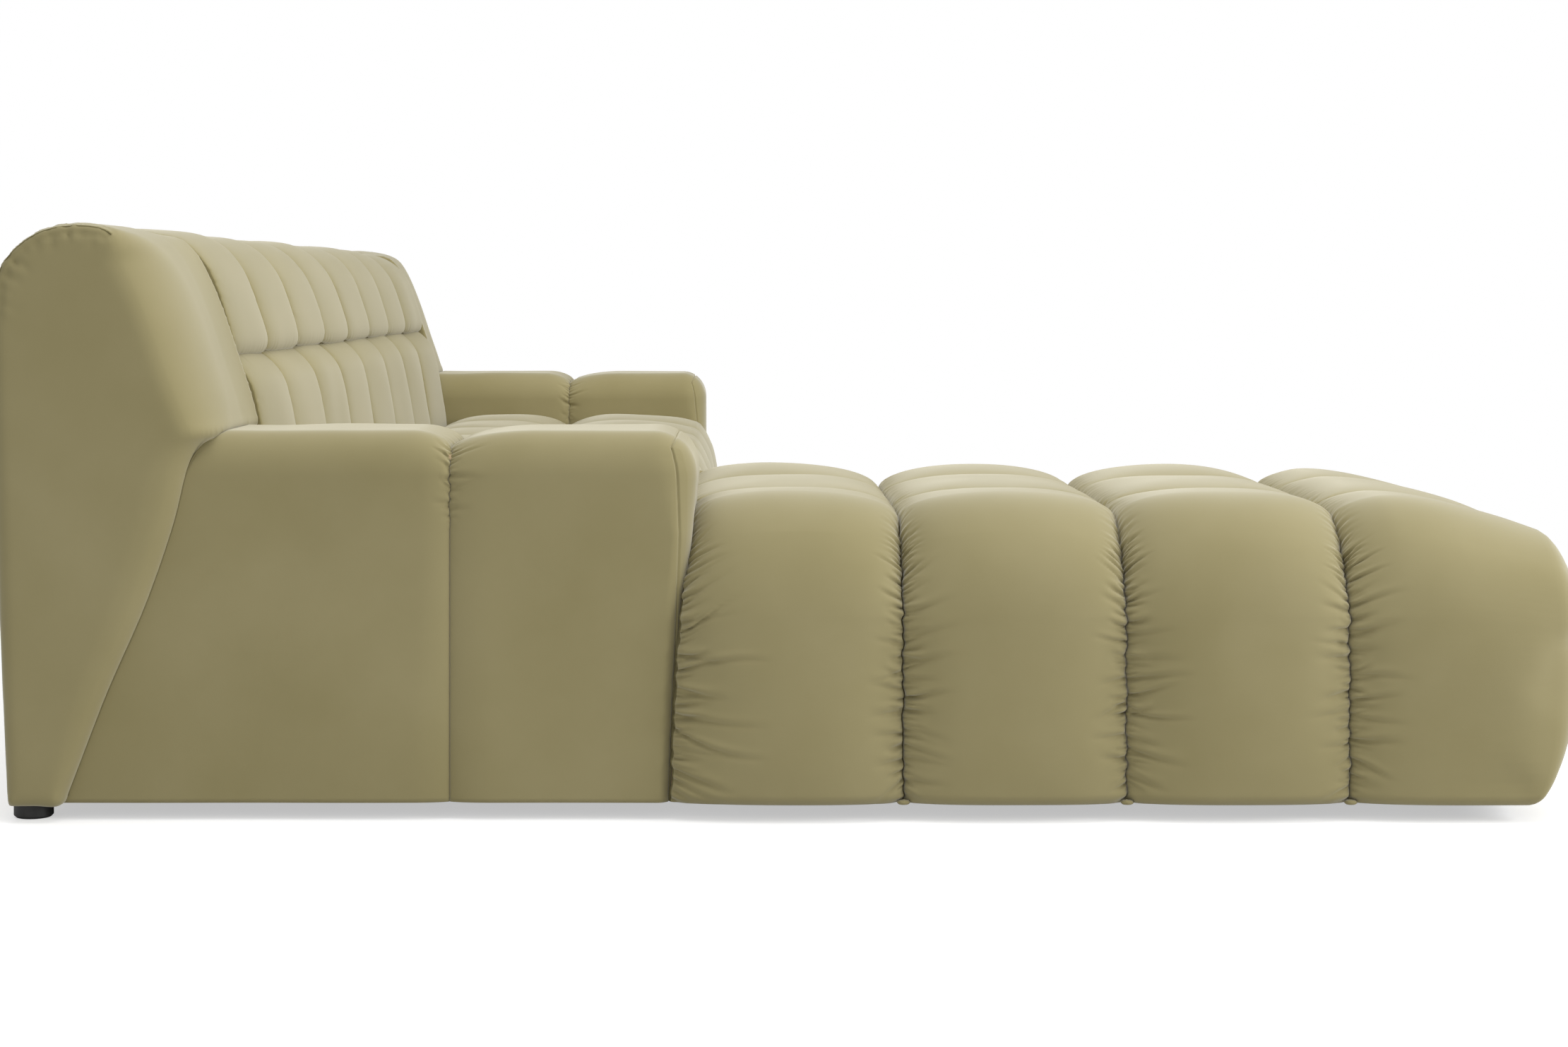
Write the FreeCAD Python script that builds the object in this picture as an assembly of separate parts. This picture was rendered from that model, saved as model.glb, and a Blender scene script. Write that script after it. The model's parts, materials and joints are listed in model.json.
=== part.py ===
import FreeCAD, Part

import math
import os
from collections import namedtuple

from FreeCAD import Vector

# Lounge sofa of two modules, a chaise and a sofa, in millimetres.
# The origin is on the floor under the middle of the sofa. +Z is up and the seat faces -Y.
# Every place is given as u, v, z: u across from the module's outer side, v forward from the rear, z up.

# Overall layout
roll_pitch = 280.0  # width of one padded column
chaise_columns = 3  # counted from the outer side, with the arm's own column
sofa_columns = 7
row_pitch = 283.0  # length of one padded row of the chaise
chaise_rows = 4  # rows in front of the chaise's arm
seat_front = 868.0  # rear to the front of the seat
row_groove = 575.0  # rear to the groove across the seat and the arm
seat_gap = 4.0  # between the back's rolls and the seat pads
height = 757.0
underside = 22.0  # floor to the upholstery
clear = 0.3  # between soft pieces and what they touch
beside = 1.5  # from the joint of the modules to the pads on each side
proud = 0.5  # how far one cutting profile stands outside another, so that they never touch

# Seat pads
seat_crest = 409.0
column_dip = 28.0  # depth of the channels between columns
row_dip = 40.0  # depth of the grooves between rows
row_rise = 6.0  # how far a row's own crown would pass the column's
side_dip = 35.0  # depth of the grooves down the sides and front
shoulder = 150.0  # radius over the side edges
nose = 95.0  # radius over the front edges
corner_turn = 85.0  # plan radius of the chaise's front corners
side_tuck = 12.0  # rounding under the sides
front_tuck = 65.0  # rounding under the front
pad_floor = 262.0  # floor to the flat underside of the pads

# Arms
arm_top = 492.0
arm_recess = 30.0  # outer face behind the end cap's
arm_round = 60.0  # radius along the top edges
arm_front_round = 42.0
arm_groove_round = 28.0  # radius into the groove between the arm's two rolls
arm_side_dip = 8.0
arm_turn = 28.0  # plan radius of the front corners
chaise_arm_lip = 21.0  # how far the arm's front stands over the chaise's first row
lip_rise = 20.0  # height over which the lip comes forward

# Back
rear_lean = 18.0  # foot of the rear face, from its rearmost line
rear_line_drop = 167.0  # from the top down to the rearmost line
shoulder_drop = 92.0  # from the top down to where the rear starts to turn over
crest_depth = 110.0  # rear to the highest line
crown_depth = 215.0  # rear to the front of the top
crown_drop = 35.0  # from the top down to there
back_depth = 298.0  # rear to the front, level with the arms' top
back_seat_depth = 318.0  # rear to the front, down behind the seat
seam_depth = 226.0  # rear to the seam between the two rows of rolls
seam_height = 578.0
brow_rise = 30.0  # from the seam up to where the upper rolls are fullest
brow_swell = 8.0  # roundness of the upper rolls over the seam
chin_drop = 33.0  # from the seam down to a point on the lower rolls' swell
chin_depth = 281.0
roll_dip = 30.0  # depth of the channels between the rolls
top_dip = 8.0  # depth of the channels along the top
cap_setback = 15.0  # end cap's front behind the rolls'
cap_turn = 110.0  # plan radius of the end cap's front corner
cap_rear_turn = 26.0
cap_top_round = 60.0
heel_depth = 85.0  # rear to the front of the end cap's foot
belly_depth = 190.0  # a point on the end cap's long front curve
belly_height = 271.0
waist_depth = 247.0  # where that curve meets the short one under the arm's top
waist_drop = 52.0
hip_depth = 262.0  # a point on the short curve
hip_drop = 18.0

# Frame
side_padding = 45.0  # outer side to the side board
front_padding = 60.0  # front to the front board
board = 22.0  # thickness of the frame boards
board_top = 200.0
low_rail_top = 140.0
block_side = 45.0
block_top = 150.0
post_rear = 22.0  # rear to the posts of the back
post_depth = 40.0
post_width = 40.0
post_cover = 67.0  # padding above the posts
post_spacing = 450.0  # about, between the posts behind the rolls
rail_height = 40.0
web_thick = 1.5
web_height = 60.0
web_rise = 90.0  # from one band of webbing to the next
cap_frame_setback = 60.0  # end boards behind the end cap's front
cap_frame_drop = 12.0  # from the arms' top down to the end boards' foot
arm_pad = 30.0  # padding on top of the arm's frame
arm_inner_pad = 42.0
dust_thick = 1.5

# Suspension
wire_radius = 2.0
spring_spacing = 140.0
spring_bar_pitch = 40.0
spring_bar_length = 6.0  # straight part of each bar
clip_length = 30.0
clip_depth = 12.0
clip_height = 6.0
clip_fit = 0.1
felt_thick = 3.7
felt_gap = 0.3

# Feet and their screws
foot_radius = 25.0
foot_edge = 3.0
foot_recess_radius = 6.5
foot_recess = 8.0
foot_inset = 180.0  # side to the middle of a foot under a cross board
screw_radius = 2.5
screw_head_radius = 5.5
screw_head = 4.0
foot_screw_length = 50.0
screw_fit = 0.1

# Connectors between the modules
joint_gap = 16.0  # between the two linings
lining = 2.0
plate = 3.0
plate_width = 100.0
plate_low = 62.0
plate_high = 150.0
tongue_width = 40.0
tongue_length = 52.0
pocket_fit = 1.5  # beside the tongue
pocket_clear = 1.7  # before and behind the tongue
pocket_spare = 3.0  # from the tongue's end to the pocket's
pocket_drop = 2.0  # from the tongue's bridge to the pocket
hook_places = (210.0, 640.0)  # from the rear
plate_screw_side = 40.0
plate_screw_rise = 28.0
plate_screw_length = 18.0
plate_screw_head = 1.2

# Values that follow
width = roll_pitch * (chaise_columns + sofa_columns)
depth = seat_front + row_pitch * chaise_rows
seat_board_front = seat_front - front_padding
seat_rear = back_seat_depth + seat_gap
rear_line = height - rear_line_drop
rear_shoulder = height - shoulder_drop
post_top = height - post_cover
post_front = post_rear + post_depth
cap_frame_floor = arm_top - cap_frame_drop
rear_board_front = post_front + board
roll_rear = post_front + web_thick + clear
board_floor = underside + dust_thick
spring_height = board_top + clip_height / 2
felt_floor = board_top + clip_height + felt_gap
foam_floor = felt_floor + felt_thick
arm_frame_top = arm_top - arm_pad
arm_frame_inner = roll_pitch - arm_inner_pad
crown_height = height - crown_drop
back_slope = (back_depth - crown_depth) / (crown_height - arm_top)
pocket_slot = plate + 2 * pocket_clear
pocket_depth = tongue_length + pocket_spare
tongue_offset = joint_gap - plate - pocket_clear - plate  # lining to the back of the tongue

Module = namedtuple("Module", "name columns rows lip mirrored")
chaise = Module("chaise", chaise_columns, chaise_rows, chaise_arm_lip, False)
sofa = Module("sofa", sofa_columns, 0, 0.0, True)


def span(module):
    """Width of a module."""
    return module.columns * roll_pitch


def base_front(module):
    """Rear to the front of the module's frame."""
    return seat_front + module.rows * row_pitch - front_padding


def joint_face(module):
    """Outer face of the frame on the side of the other module."""
    return span(module) - joint_gap / 2 - lining


# Drawing


def point(u, v, z):
    return Vector(u - width / 2, depth / 2 - v, z)


def in_plane(plane, a, b, level):
    """A profile's point, in the plane across (uz), along (vz) or flat (uv)."""
    if plane == "vz":
        return point(level, a, b)
    if plane == "uz":
        return point(a, level, b)
    return point(a, b, level)


def flat_face(plane, profile, level):
    """Face inside a profile. A step is a point, or a pair: a point on an arc and the arc's end."""
    here = profile[0]
    edges = []
    for step in profile[1:] + profile[:1]:
        is_arc = isinstance(step[0], tuple)
        end = step[1] if is_arc else step
        a, b = in_plane(plane, *here, level), in_plane(plane, *end, level)
        if is_arc:
            edges.append(Part.Arc(a, in_plane(plane, *step[0], level), b).toShape())
        elif a.distanceToPoint(b) > 1e-6:
            edges.append(Part.LineSegment(a, b).toShape())
        here = end
    return Part.Face(Part.Wire(edges))


def prism(plane, profile, low, high):
    push = in_plane(plane, 0, 0, high) - in_plane(plane, 0, 0, low)
    return flat_face(plane, profile, low).extrude(push)


def block(u, v, z):
    return Part.makeBox(u[1] - u[0], v[1] - v[0], z[1] - z[0], point(u[0], v[1], z[0]))


def rod(radius, start, end):
    along = point(*end) - point(*start)
    return Part.makeCylinder(radius, along.Length, point(*start), along)


def joined(shapes):
    return shapes[0].multiFuse(shapes[1:]).removeSplitter() if len(shapes) > 1 else shapes[0]


def quarter(start, corner, end):
    """Arc step that rounds a square corner."""
    middle = [s + e - c + (2 * c - s - e) / math.sqrt(2) for s, c, e in zip(start, corner, end)]
    return tuple(middle), end


def swell(level, groove, axis):
    """Point on an arc that leaves one end along an axis and bends away to a groove at the other."""
    length = groove[axis] - level[axis]
    drop = groove[1 - axis] - level[1 - axis]
    radius = (length**2 + drop**2) / (2 * abs(drop))
    half = math.asin(abs(length) / radius) / 2
    middle = [0, 0]
    middle[axis] = level[axis] + math.copysign(radius * math.sin(half), length)
    middle[1 - axis] = level[1 - axis] + math.copysign(radius * (1 - math.cos(half)), drop)
    return tuple(middle)


def crest(right, left, right_open, left_open, peak):
    """Step from the right end of a swollen edge to its left end."""
    if right_open and left_open:
        return left
    if right_open:
        return swell(right, left, 0), left
    if left_open:
        return swell(left, right, 0), left
    return ((right[0] + left[0]) / 2, peak), left


def crown(low, high, floor, top, dip, low_round=0, high_round=0, low_tuck=0, high_tuck=0):
    """Upright section of a pad. A side with a round is open, and one without meets a groove."""
    right = (high - high_round, top) if high_round else (high, top - dip)
    left = (low + low_round, top) if low_round else (low, top - dip)
    steps = [(low + low_tuck, floor), (high - high_tuck, floor)]
    if high_tuck:
        steps.append(quarter(steps[-1], (high, floor), (high, floor + high_tuck)))
    if high_round:
        steps.append((high, top - high_round))
        steps.append(quarter((high, top - high_round), (high, top), right))
    else:
        steps.append(right)
    steps.append(crest(right, left, high_round, low_round, top))
    if low_round:
        steps.append(quarter(left, (low, top), (low, top - low_round)))
    if low_tuck:
        steps.append((low, floor + low_tuck))
        steps.append(quarter((low, floor + low_tuck), (low, floor), steps[0]))
    return steps


def outline(u, v, dip, turn, low_open, high_open, front_open):
    """Flat outline of a pad, swollen on its open sides."""
    (low, high), (rear, front) = u, v
    middle = (rear + front) / 2
    right = (high - turn, front) if high_open else (high, front - dip)
    left = (low + turn, front) if low_open else (low, front - dip)
    steps = [(low + dip * low_open, rear), (high - dip * high_open, rear)]
    if not front_open:
        end = (high - dip * high_open, front)
        steps.append(((high, middle), end) if high_open else end)
        steps.append((low + dip * low_open, front))
        if low_open:
            steps.append(((low, middle), steps[0]))
        return steps
    if high_open:
        level = (high, front - turn)
        steps.append((swell(level, steps[1], 1), level))
        steps.append(quarter(level, (high, front), right))
    else:
        steps.append(right)
    steps.append(crest(right, left, high_open, low_open, front))
    if low_open:
        level = (low, front - turn)
        steps.append(quarter(left, (low, front), level))
        steps.append((swell(level, steps[0], 1), steps[0]))
    return steps


def meet(*solids):
    """What all the solids share."""
    shared = solids[0]
    for solid in solids[1:]:
        shared = shared.common(solid)
    return shared


# Spaces that the upholstery leaves for the frame


def base_space(module):
    high = pad_floor + clear
    end = span(module)
    across = (side_padding - clear, end + proud)
    along = (post_rear - clear, seat_board_front + clear)
    spaces = [block(across, along, (0, high))]
    if module.rows:
        across = (side_padding - clear, end - side_padding + clear)
        along = (seat_board_front - clear, base_front(module) + clear)
        spaces.append(block(across, along, (0, high)))
    return joined(spaces)


def arm_space():
    across = (side_padding - clear, arm_frame_inner + clear)
    along = (post_front - clear, seat_board_front + clear)
    return block(across, along, (underside, arm_frame_top + clear))


def front_at(z):
    """Rear to the sloping front of the back at a height."""
    return crown_depth + (crown_height - z) * back_slope


def cap_frame_profile(grow):
    """Outline of the end boards in the end cap, grown all round."""
    low, high = cap_frame_floor - grow, post_top + grow
    reach = grow - cap_frame_setback
    return [
        (post_front - grow, low),
        (front_at(cap_frame_floor) + reach, low),
        (front_at(post_top) + reach, high),
        (post_front - grow, high),
    ]


def cap_space():
    across = (side_padding - clear, roll_pitch)
    along = (post_rear - clear, post_front + clear)
    posts = block(across, along, (0, post_top + clear))
    return posts.fuse(prism("vz", cap_frame_profile(clear), *across))


# Upholstery


def seat_pad(u, v, low_open=False, high_open=False, front_open=False):
    """One pad of the tufted seat, down to the underside on its open sides."""
    across = crown(
        u[0] - proud * low_open,
        u[1] + proud * high_open,
        underside,
        seat_crest,
        column_dip,
        shoulder * low_open,
        shoulder * high_open,
        side_tuck * low_open,
        side_tuck * high_open,
    )
    along = crown(
        v[0],
        v[1] + proud * front_open,
        underside,
        seat_crest + row_rise,
        row_dip + row_rise,
        high_round=nose * front_open,
        high_tuck=front_tuck * front_open,
    )
    flat = outline(u, v, side_dip, corner_turn, low_open, high_open, front_open)
    return meet(
        prism("uv", flat, 0, height),
        prism("uz", across, v[0] - proud, v[1] + proud),
        prism("vz", along, u[0] - proud, u[1] + proud),
    )


def column(index):
    """Left and right of a padded column."""
    return index * roll_pitch, (index + 1) * roll_pitch


def seat_column(module, index):
    """Left and right of a column beside the arm. The last one stops short of the other module."""
    low, high = column(index)
    last = index == module.columns - 1
    return low, high - beside * last


def chaise_column(module, index):
    """A column of pads in front of the arm."""
    pads = []
    for row in range(module.rows):
        rear = seat_front + row * row_pitch
        pads.append(
            seat_pad(
                column(index),
                (rear, rear + row_pitch),
                low_open=index == 0,
                high_open=index == module.columns - 1,
                front_open=row == module.rows - 1,
            )
        )
    return joined(pads).cut(base_space(module))


def seat_row(module, rear, front, front_open):
    """A row of pads between the arm and the other module."""
    pads = [
        seat_pad(seat_column(module, index), (rear, front), front_open=front_open)
        for index in range(1, module.columns)
    ]
    return joined(pads).cut(base_space(module))


def arm_roll(module, rear, front, at_front):
    """One roll of an arm, over the arm's frame and up to the end cap."""
    low, high = arm_recess, roll_pitch - clear
    top = arm_top + proud
    across = crown(low - proud, high + proud, underside, arm_top, 0, arm_round, arm_round)
    if at_front:
        face = front + module.lip
        along = [
            (rear, underside),
            (front - clear, underside),
            (front - clear, seat_crest),
            (face, seat_crest + lip_rise),
            (face, top - arm_front_round),
            quarter((face, top - arm_front_round), (face, top), (face - arm_front_round, top)),
            (rear + arm_groove_round, top),
            quarter((rear + arm_groove_round, top), (rear, top), (rear, top - arm_groove_round)),
        ]
    else:
        face = front
        along = crown(rear, front, underside, top, 0, arm_groove_round, arm_groove_round)
    length = (rear, face + proud * at_front)
    flat = outline((low, high), length, arm_side_dip, arm_turn, True, True, at_front)
    lengthwise = prism("vz", along, 0, roll_pitch)
    roll = meet(prism("uv", flat, 0, height), prism("uz", across, 0, depth), lengthwise)
    beyond_cap = prism("vz", cap_profile(), -proud, roll_pitch + proud)
    beyond_cap.translate(point(0, clear, 0) - point(0, 0, 0))
    return roll.cut(beyond_cap).cut(arm_space()).cut(base_space(module))


def cap_profile():
    """Side of the end cap: a narrow foot, a long curve up in front, and a rounded top."""
    return [
        (rear_lean, underside),
        (heel_depth, underside),
        ((belly_depth, belly_height), (waist_depth, arm_top - waist_drop)),
        ((hip_depth, arm_top - hip_drop), (back_depth - cap_setback, arm_top)),
        (crown_depth - cap_setback, crown_height),
        *top_turn(crown_depth - cap_setback),
        (0, rear_line),
    ]


def top_turn(front):
    """Steps from the front of the back's top, over it and down to the rear."""
    top = (crest_depth, height)
    shoulder_end = (0, rear_shoulder)
    return [
        (swell(top, (front, crown_height), 0), top),
        (swell(top, shoulder_end, 0), shoulder_end),
    ]


def sloped(profile):
    """A flat profile, drawn where the front of the back stops rising, pushed along its slope."""
    above = height - crown_height + proud
    face = flat_face("uv", profile, crown_height)
    face.translate(point(0, -above * back_slope, above) - point(0, 0, 0))
    return face.extrude(point(0, height * back_slope, -height) - point(0, 0, 0))


def end_cap(module):
    high = roll_pitch - clear
    front = crown_depth - cap_setback + proud
    level = (cap_turn, front)
    groove = (high, front - roll_dip)
    plan = [
        (0, -depth),
        (0, front - cap_turn),
        quarter((0, front - cap_turn), (0, front), level),
        (swell(level, groove, 0), groove),
        (high, -depth),
    ]
    rear_plan = [
        (cap_rear_turn - proud, -proud),
        (high + proud, -proud),
        (high + proud, depth),
        (-proud, depth),
        (-proud, cap_rear_turn - proud),
        quarter((-proud, cap_rear_turn - proud), (-proud, -proud), (cap_rear_turn - proud, -proud)),
    ]
    over = crown(-proud, high + proud, 0, height + 2 * proud, top_dip + 2 * proud, low_round=cap_top_round)
    cap = meet(
        prism("vz", cap_profile(), -proud, high + proud),
        sloped(plan),
        prism("uv", rear_plan, 0, height + proud),
        prism("uz", over, -depth, depth),
    )
    return cap.cut(cap_space()).cut(arm_space()).cut(base_space(module))


def back_columns(module):
    """Left and right of each roll of the back."""
    return [seat_column(module, index) for index in range(1, module.columns)]


def channelled(module, profile):
    """Rolls of the back side by side, each swollen between its channels."""
    rolls = []
    front = crown_depth + proud
    for low, high in back_columns(module):
        plan = [
            (low, -depth),
            (high, -depth),
            (high, front - roll_dip),
            (((low + high) / 2, front), (low, front - roll_dip)),
        ]
        over = crown(low, high, 0, height + 2 * proud, top_dip + 2 * proud)
        side = prism("vz", profile, low - proud, high + proud)
        rolls.append(meet(side, sloped(plan), prism("uz", over, -depth, depth)))
    return joined(rolls)


def lower_rolls(module):
    floor, top = pad_floor + clear, seam_height - clear / 2
    profile = [
        (roll_rear, floor),
        (back_seat_depth, floor),
        (back_seat_depth, seat_crest),
        (back_depth, arm_top),
        ((chin_depth, seam_height - chin_drop), (seam_depth, top)),
        (roll_rear, top),
    ]
    return channelled(module, profile)


def upper_rolls(module):
    floor = seam_height + clear / 2
    brow = (front_at(seam_height + brow_rise), seam_height + brow_rise)
    fold = ((seam_depth + brow[0]) / 2 + brow_swell, (floor + brow[1]) / 2 - brow_swell)
    profile = [
        (roll_rear, floor),
        (seam_depth, floor),
        (fold, brow),
        (crown_depth, crown_height),
        *top_turn(crown_depth),
        (post_rear, rear_shoulder),
        (post_rear, post_top + clear),
        (roll_rear, post_top + clear),
    ]
    return channelled(module, profile)


def rear_panel(module):
    profile = [
        (rear_lean, underside),
        (post_rear - clear, underside),
        (post_rear - clear, rear_shoulder - clear),
        (0, rear_shoulder - clear),
        (0, rear_line),
    ]
    return prism("vz", profile, roll_pitch, span(module) - beside)


# Frame


def side_boards(module):
    z = (board_floor, board_top)
    end = joint_face(module)
    boards = [
        block((side_padding, side_padding + board), (post_front, base_front(module)), z),
        block((end - board, end), (post_front, seat_board_front), z),
    ]
    if module.rows:
        inner = span(module) - side_padding
        boards.append(block((inner - board, inner), (seat_board_front, base_front(module)), z))
    return boards


def front_bay(module):
    """Between the side boards of the chaise's long part."""
    return side_padding + board, span(module) - side_padding - board


def seat_bay(module):
    """Between the side boards behind the front of the seat."""
    return side_padding + board, joint_face(module) - board


def rail_places(module):
    """Middles of the rails that run forward under the sofa's seat."""
    bays = round(span(module) / roll_pitch / 2)
    low, high = seat_bay(module)
    return [low + (high - low) * number / bays for number in range(1, bays)]


def cross_boards(module):
    z = (board_floor, board_top)
    low_z = (board_floor, low_rail_top)
    boards = [
        block(seat_bay(module), (post_front, rear_board_front), z),
        block(seat_bay(module), (seat_board_front - board, seat_board_front), z),
    ]
    if module.rows:
        front = base_front(module)
        middle = (seat_board_front + front) / 2
        boards.append(block(front_bay(module), (front - board, front), z))
        boards.append(block(front_bay(module), (middle - board / 2, middle + board / 2), low_z))
    else:
        along = (rear_board_front, seat_board_front - board)
        for middle in rail_places(module):
            boards.append(block((middle - board / 2, middle + board / 2), along, low_z))
    return boards


def corner_blocks(module):
    low, high = seat_bay(module)
    rear = (rear_board_front, rear_board_front + block_side)
    front = (seat_board_front - board - block_side, seat_board_front - board)
    corners = [(side, along) for side in (low, high - block_side) for along in (rear, front)]
    if module.rows:
        low, high = front_bay(module)
        end = base_front(module) - board
        corners += [(side, (end - block_side, end)) for side in (low, high - block_side)]
    z = (board_floor, block_top)
    return [block((side, side + block_side), along, z) for side, along in corners]


def arm_frame():
    z = (board_top, arm_frame_top - board)
    along = (post_front, seat_board_front)
    return [
        block((side_padding, side_padding + board), along, z),
        block((arm_frame_inner - board, arm_frame_inner), along, z),
        block((side_padding, arm_frame_inner), along, (z[1], arm_frame_top)),
    ]


def post_places(module):
    """Left side of each post of the back. The second stands at the end cap's inner edge."""
    first = roll_pitch - post_width / 2
    last = joint_face(module) - post_width
    bays = max(1, round((last - first) / post_spacing))
    return [side_padding] + [first + (last - first) * number / bays for number in range(bays + 1)]


def back_posts(module):
    z = (board_floor, post_top)
    return [block((u, u + post_width), (post_rear, post_front), z) for u in post_places(module)]


def back_rails(module):
    rails = []
    places = post_places(module)
    for floor in (pad_floor, seam_height - rail_height / 2, post_top - rail_height):
        z = (floor, floor + rail_height)
        for left, right in zip(places, places[1:]):
            rails.append(block((left + post_width, right), (post_rear, post_front), z))
    return rails


def back_webbing(module):
    across = (roll_pitch, joint_face(module))
    floors = [pad_floor + rail_height]
    while floors[-1] + web_rise + web_height < post_top - rail_height:
        floors.append(floors[-1] + web_rise)
    along = (post_front, post_front + web_thick)
    return [block(across, along, (floor, floor + web_height)) for floor in floors]


def end_boards():
    high = roll_pitch - clear
    sides = ((side_padding, side_padding + board), (high - board, high))
    return [prism("vz", cap_frame_profile(0), *side) for side in sides]


def layer(module, floor, top):
    """A sheet that fills the seat from the arm to the other module, and the chaise's long part."""
    end = joint_face(module)
    sheet = block((roll_pitch, end), (rear_board_front, seat_board_front), (floor, top))
    if not module.rows:
        return sheet
    across = (side_padding, span(module) - side_padding)
    along = (seat_board_front, base_front(module))
    return joined([sheet, block(across, along, (floor, top))])


def dust_cover(module):
    z = (underside, board_floor)
    sheets = [block((side_padding, joint_face(module)), (post_rear, seat_board_front), z)]
    if module.rows:
        across = (side_padding, span(module) - side_padding)
        sheets.append(block(across, (seat_board_front, base_front(module)), z))
    return joined(sheets)


def joint_lining(module):
    profile = [
        (post_rear, board_floor),
        (seat_board_front, board_floor),
        (seat_board_front, pad_floor),
        (post_front, pad_floor),
        (post_front, post_top),
        (post_rear, post_top),
    ]
    return prism("vz", profile, joint_face(module), joint_face(module) + lining)


# Suspension: zigzag wires held in clips on the boards


def spread(low, high):
    """Middles of the springs' equal shares of a length."""
    count = int((high - low) / spring_spacing)
    share = (high - low) / count
    return [low + share / 2 + share * number for number in range(count)]


def spring_lines(module):
    """Start and end of each spring's middle line, between the tops of two boards."""
    half = board / 2
    rear, front = post_front + half, seat_board_front - half
    lines = [((u, rear), (u, front)) for u in spread(roll_pitch, joint_face(module) - board)]
    if module.rows:
        left, right = side_padding + half, span(module) - side_padding - half
        lines += [((left, v), (right, v)) for v in spread(seat_board_front, base_front(module) - board)]
    return lines


def zigzag(start, end):
    """One wire of bars across its line, joined by half turns."""
    along = point(*end, spring_height) - point(*start, spring_height)
    bays = round(along.Length / spring_bar_pitch)
    turn = along.Length / bays / 2
    way = along.normalize()
    side = Vector(0, 0, 1).cross(way)
    first = point(*start, spring_height)
    reach = spring_bar_length / 2
    edges = []
    for number in range(bays + 1):
        sign = 1 if number % 2 == 0 else -1
        bar = first + way * (2 * turn * number)
        near, far = bar - side * (reach * sign), bar + side * (reach * sign)
        edges.append(Part.LineSegment(near, far).toShape())
        if number < bays:
            after = far + way * (2 * turn)
            peak = far + way * turn + side * (turn * sign)
            edges.append(Part.Arc(far, peak, after).toShape())
    ring = Part.Wire(Part.makeCircle(wire_radius, first - side * reach, side))
    return Part.Wire(edges).makePipeShell([ring], True, False)


def spring_clips(module):
    clips = []
    half_bar = clip_length / 2
    wire = wire_radius + clip_fit
    z = (board_top, board_top + clip_height)
    for start, end in spring_lines(module):
        lengthwise = start[0] == end[0]
        u_half, v_half = (half_bar, clip_depth / 2) if lengthwise else (clip_depth / 2, half_bar)
        across, along = (half_bar, 0) if lengthwise else (0, half_bar)
        for u, v in (start, end):
            body = block((u - u_half, u + u_half), (v - v_half, v + v_half), z)
            near = (u - across, v - along, spring_height)
            far = (u + across, v + along, spring_height)
            clips.append(body.cut(rod(wire, near, far)).cut(turn_room(u, v, start, end)))
    return clips


def turn_room(u, v, start, end):
    """Opening through which the spring's first turn leaves its clip."""
    middle = ((start[0] + end[0]) / 2, (start[1] + end[1]) / 2)
    across = (min(u, middle[0]), max(u, middle[0]))
    along = (min(v, middle[1]), max(v, middle[1]))
    if start[0] == end[0]:
        across = (u - clip_length, u + clip_length)
    else:
        along = (v - clip_length, v + clip_length)
    wire = wire_radius + clip_fit
    return block(across, along, (spring_height - wire, spring_height + wire))


# Feet


def foot_places(module):
    """Middle of each foot, under a post, a board or a block of the frame."""
    outer = side_padding + board / 2
    rear = post_rear + post_depth / 2
    joint_post = joint_face(module) - foot_radius
    sides = (foot_inset, span(module) - foot_inset)
    front = base_front(module) - board / 2
    places = [(outer, rear), (joint_post, rear)] + [(side, front) for side in sides]
    if module.rows:
        places += [(side, seat_board_front - board / 2) for side in sides]
    else:
        posts = post_places(module)
        middle_post = posts[(len(posts) + 1) // 2] + post_width / 2
        rails = rail_places(module)
        places += [(middle_post, rear), (rails[len(rails) // 2], front)]
    return places


def feet(module):
    shapes = []
    up = Vector(0, 0, 1)
    for u, v in foot_places(module):
        rim = Part.makeCone(foot_radius - foot_edge, foot_radius, foot_edge, point(u, v, 0), up)
        body = rim.fuse(rod(foot_radius, (u, v, foot_edge), (u, v, underside)))
        recess = rod(foot_recess_radius, (u, v, -proud), (u, v, foot_recess))
        hole = rod(screw_radius + screw_fit, (u, v, 0), (u, v, height))
        shapes.append(body.cut(recess).cut(hole).removeSplitter())
    return shapes


def foot_screws(module):
    shapes = []
    tip = foot_recess + foot_screw_length
    for u, v in foot_places(module):
        head = rod(screw_head_radius, (u, v, foot_recess - screw_head), (u, v, foot_recess))
        shapes.append(head.fuse(rod(screw_radius, (u, v, foot_recess), (u, v, tip))))
    return shapes


# Connectors: a tongue on the chaise drops into a pocket on the sofa


def plate_screw_places():
    middle = (plate_low + plate_high) / 2
    return [
        (v + side * plate_screw_side, middle + rise * plate_screw_rise)
        for v in hook_places
        for side in (-1, 1)
        for rise in (-1, 1)
    ]


def drilled(shape, module, radius):
    """A shape with the connector's screw holes."""
    face = joint_face(module) + lining
    for v, z in plate_screw_places():
        shape = shape.cut(rod(radius, (face - plate_screw_length - proud, v, z), (face + joint_gap, v, z)))
    return shape


def hook_plates(module):
    face = joint_face(module) + lining
    half, tongue = plate_width / 2, tongue_width / 2
    outside = face + tongue_offset + plate
    shapes = []
    for v in hook_places:
        back = block((face, face + plate), (v - half, v + half), (plate_low, plate_high))
        bridge = block((face, outside), (v - tongue, v + tongue), (plate_high - plate, plate_high))
        hanging = (plate_high - plate - tongue_length, plate_high)
        drop = block((outside - plate, outside), (v - tongue, v + tongue), hanging)
        shapes.append(drilled(joined([back, bridge, drop]), module, screw_radius + screw_fit))
    return shapes


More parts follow.
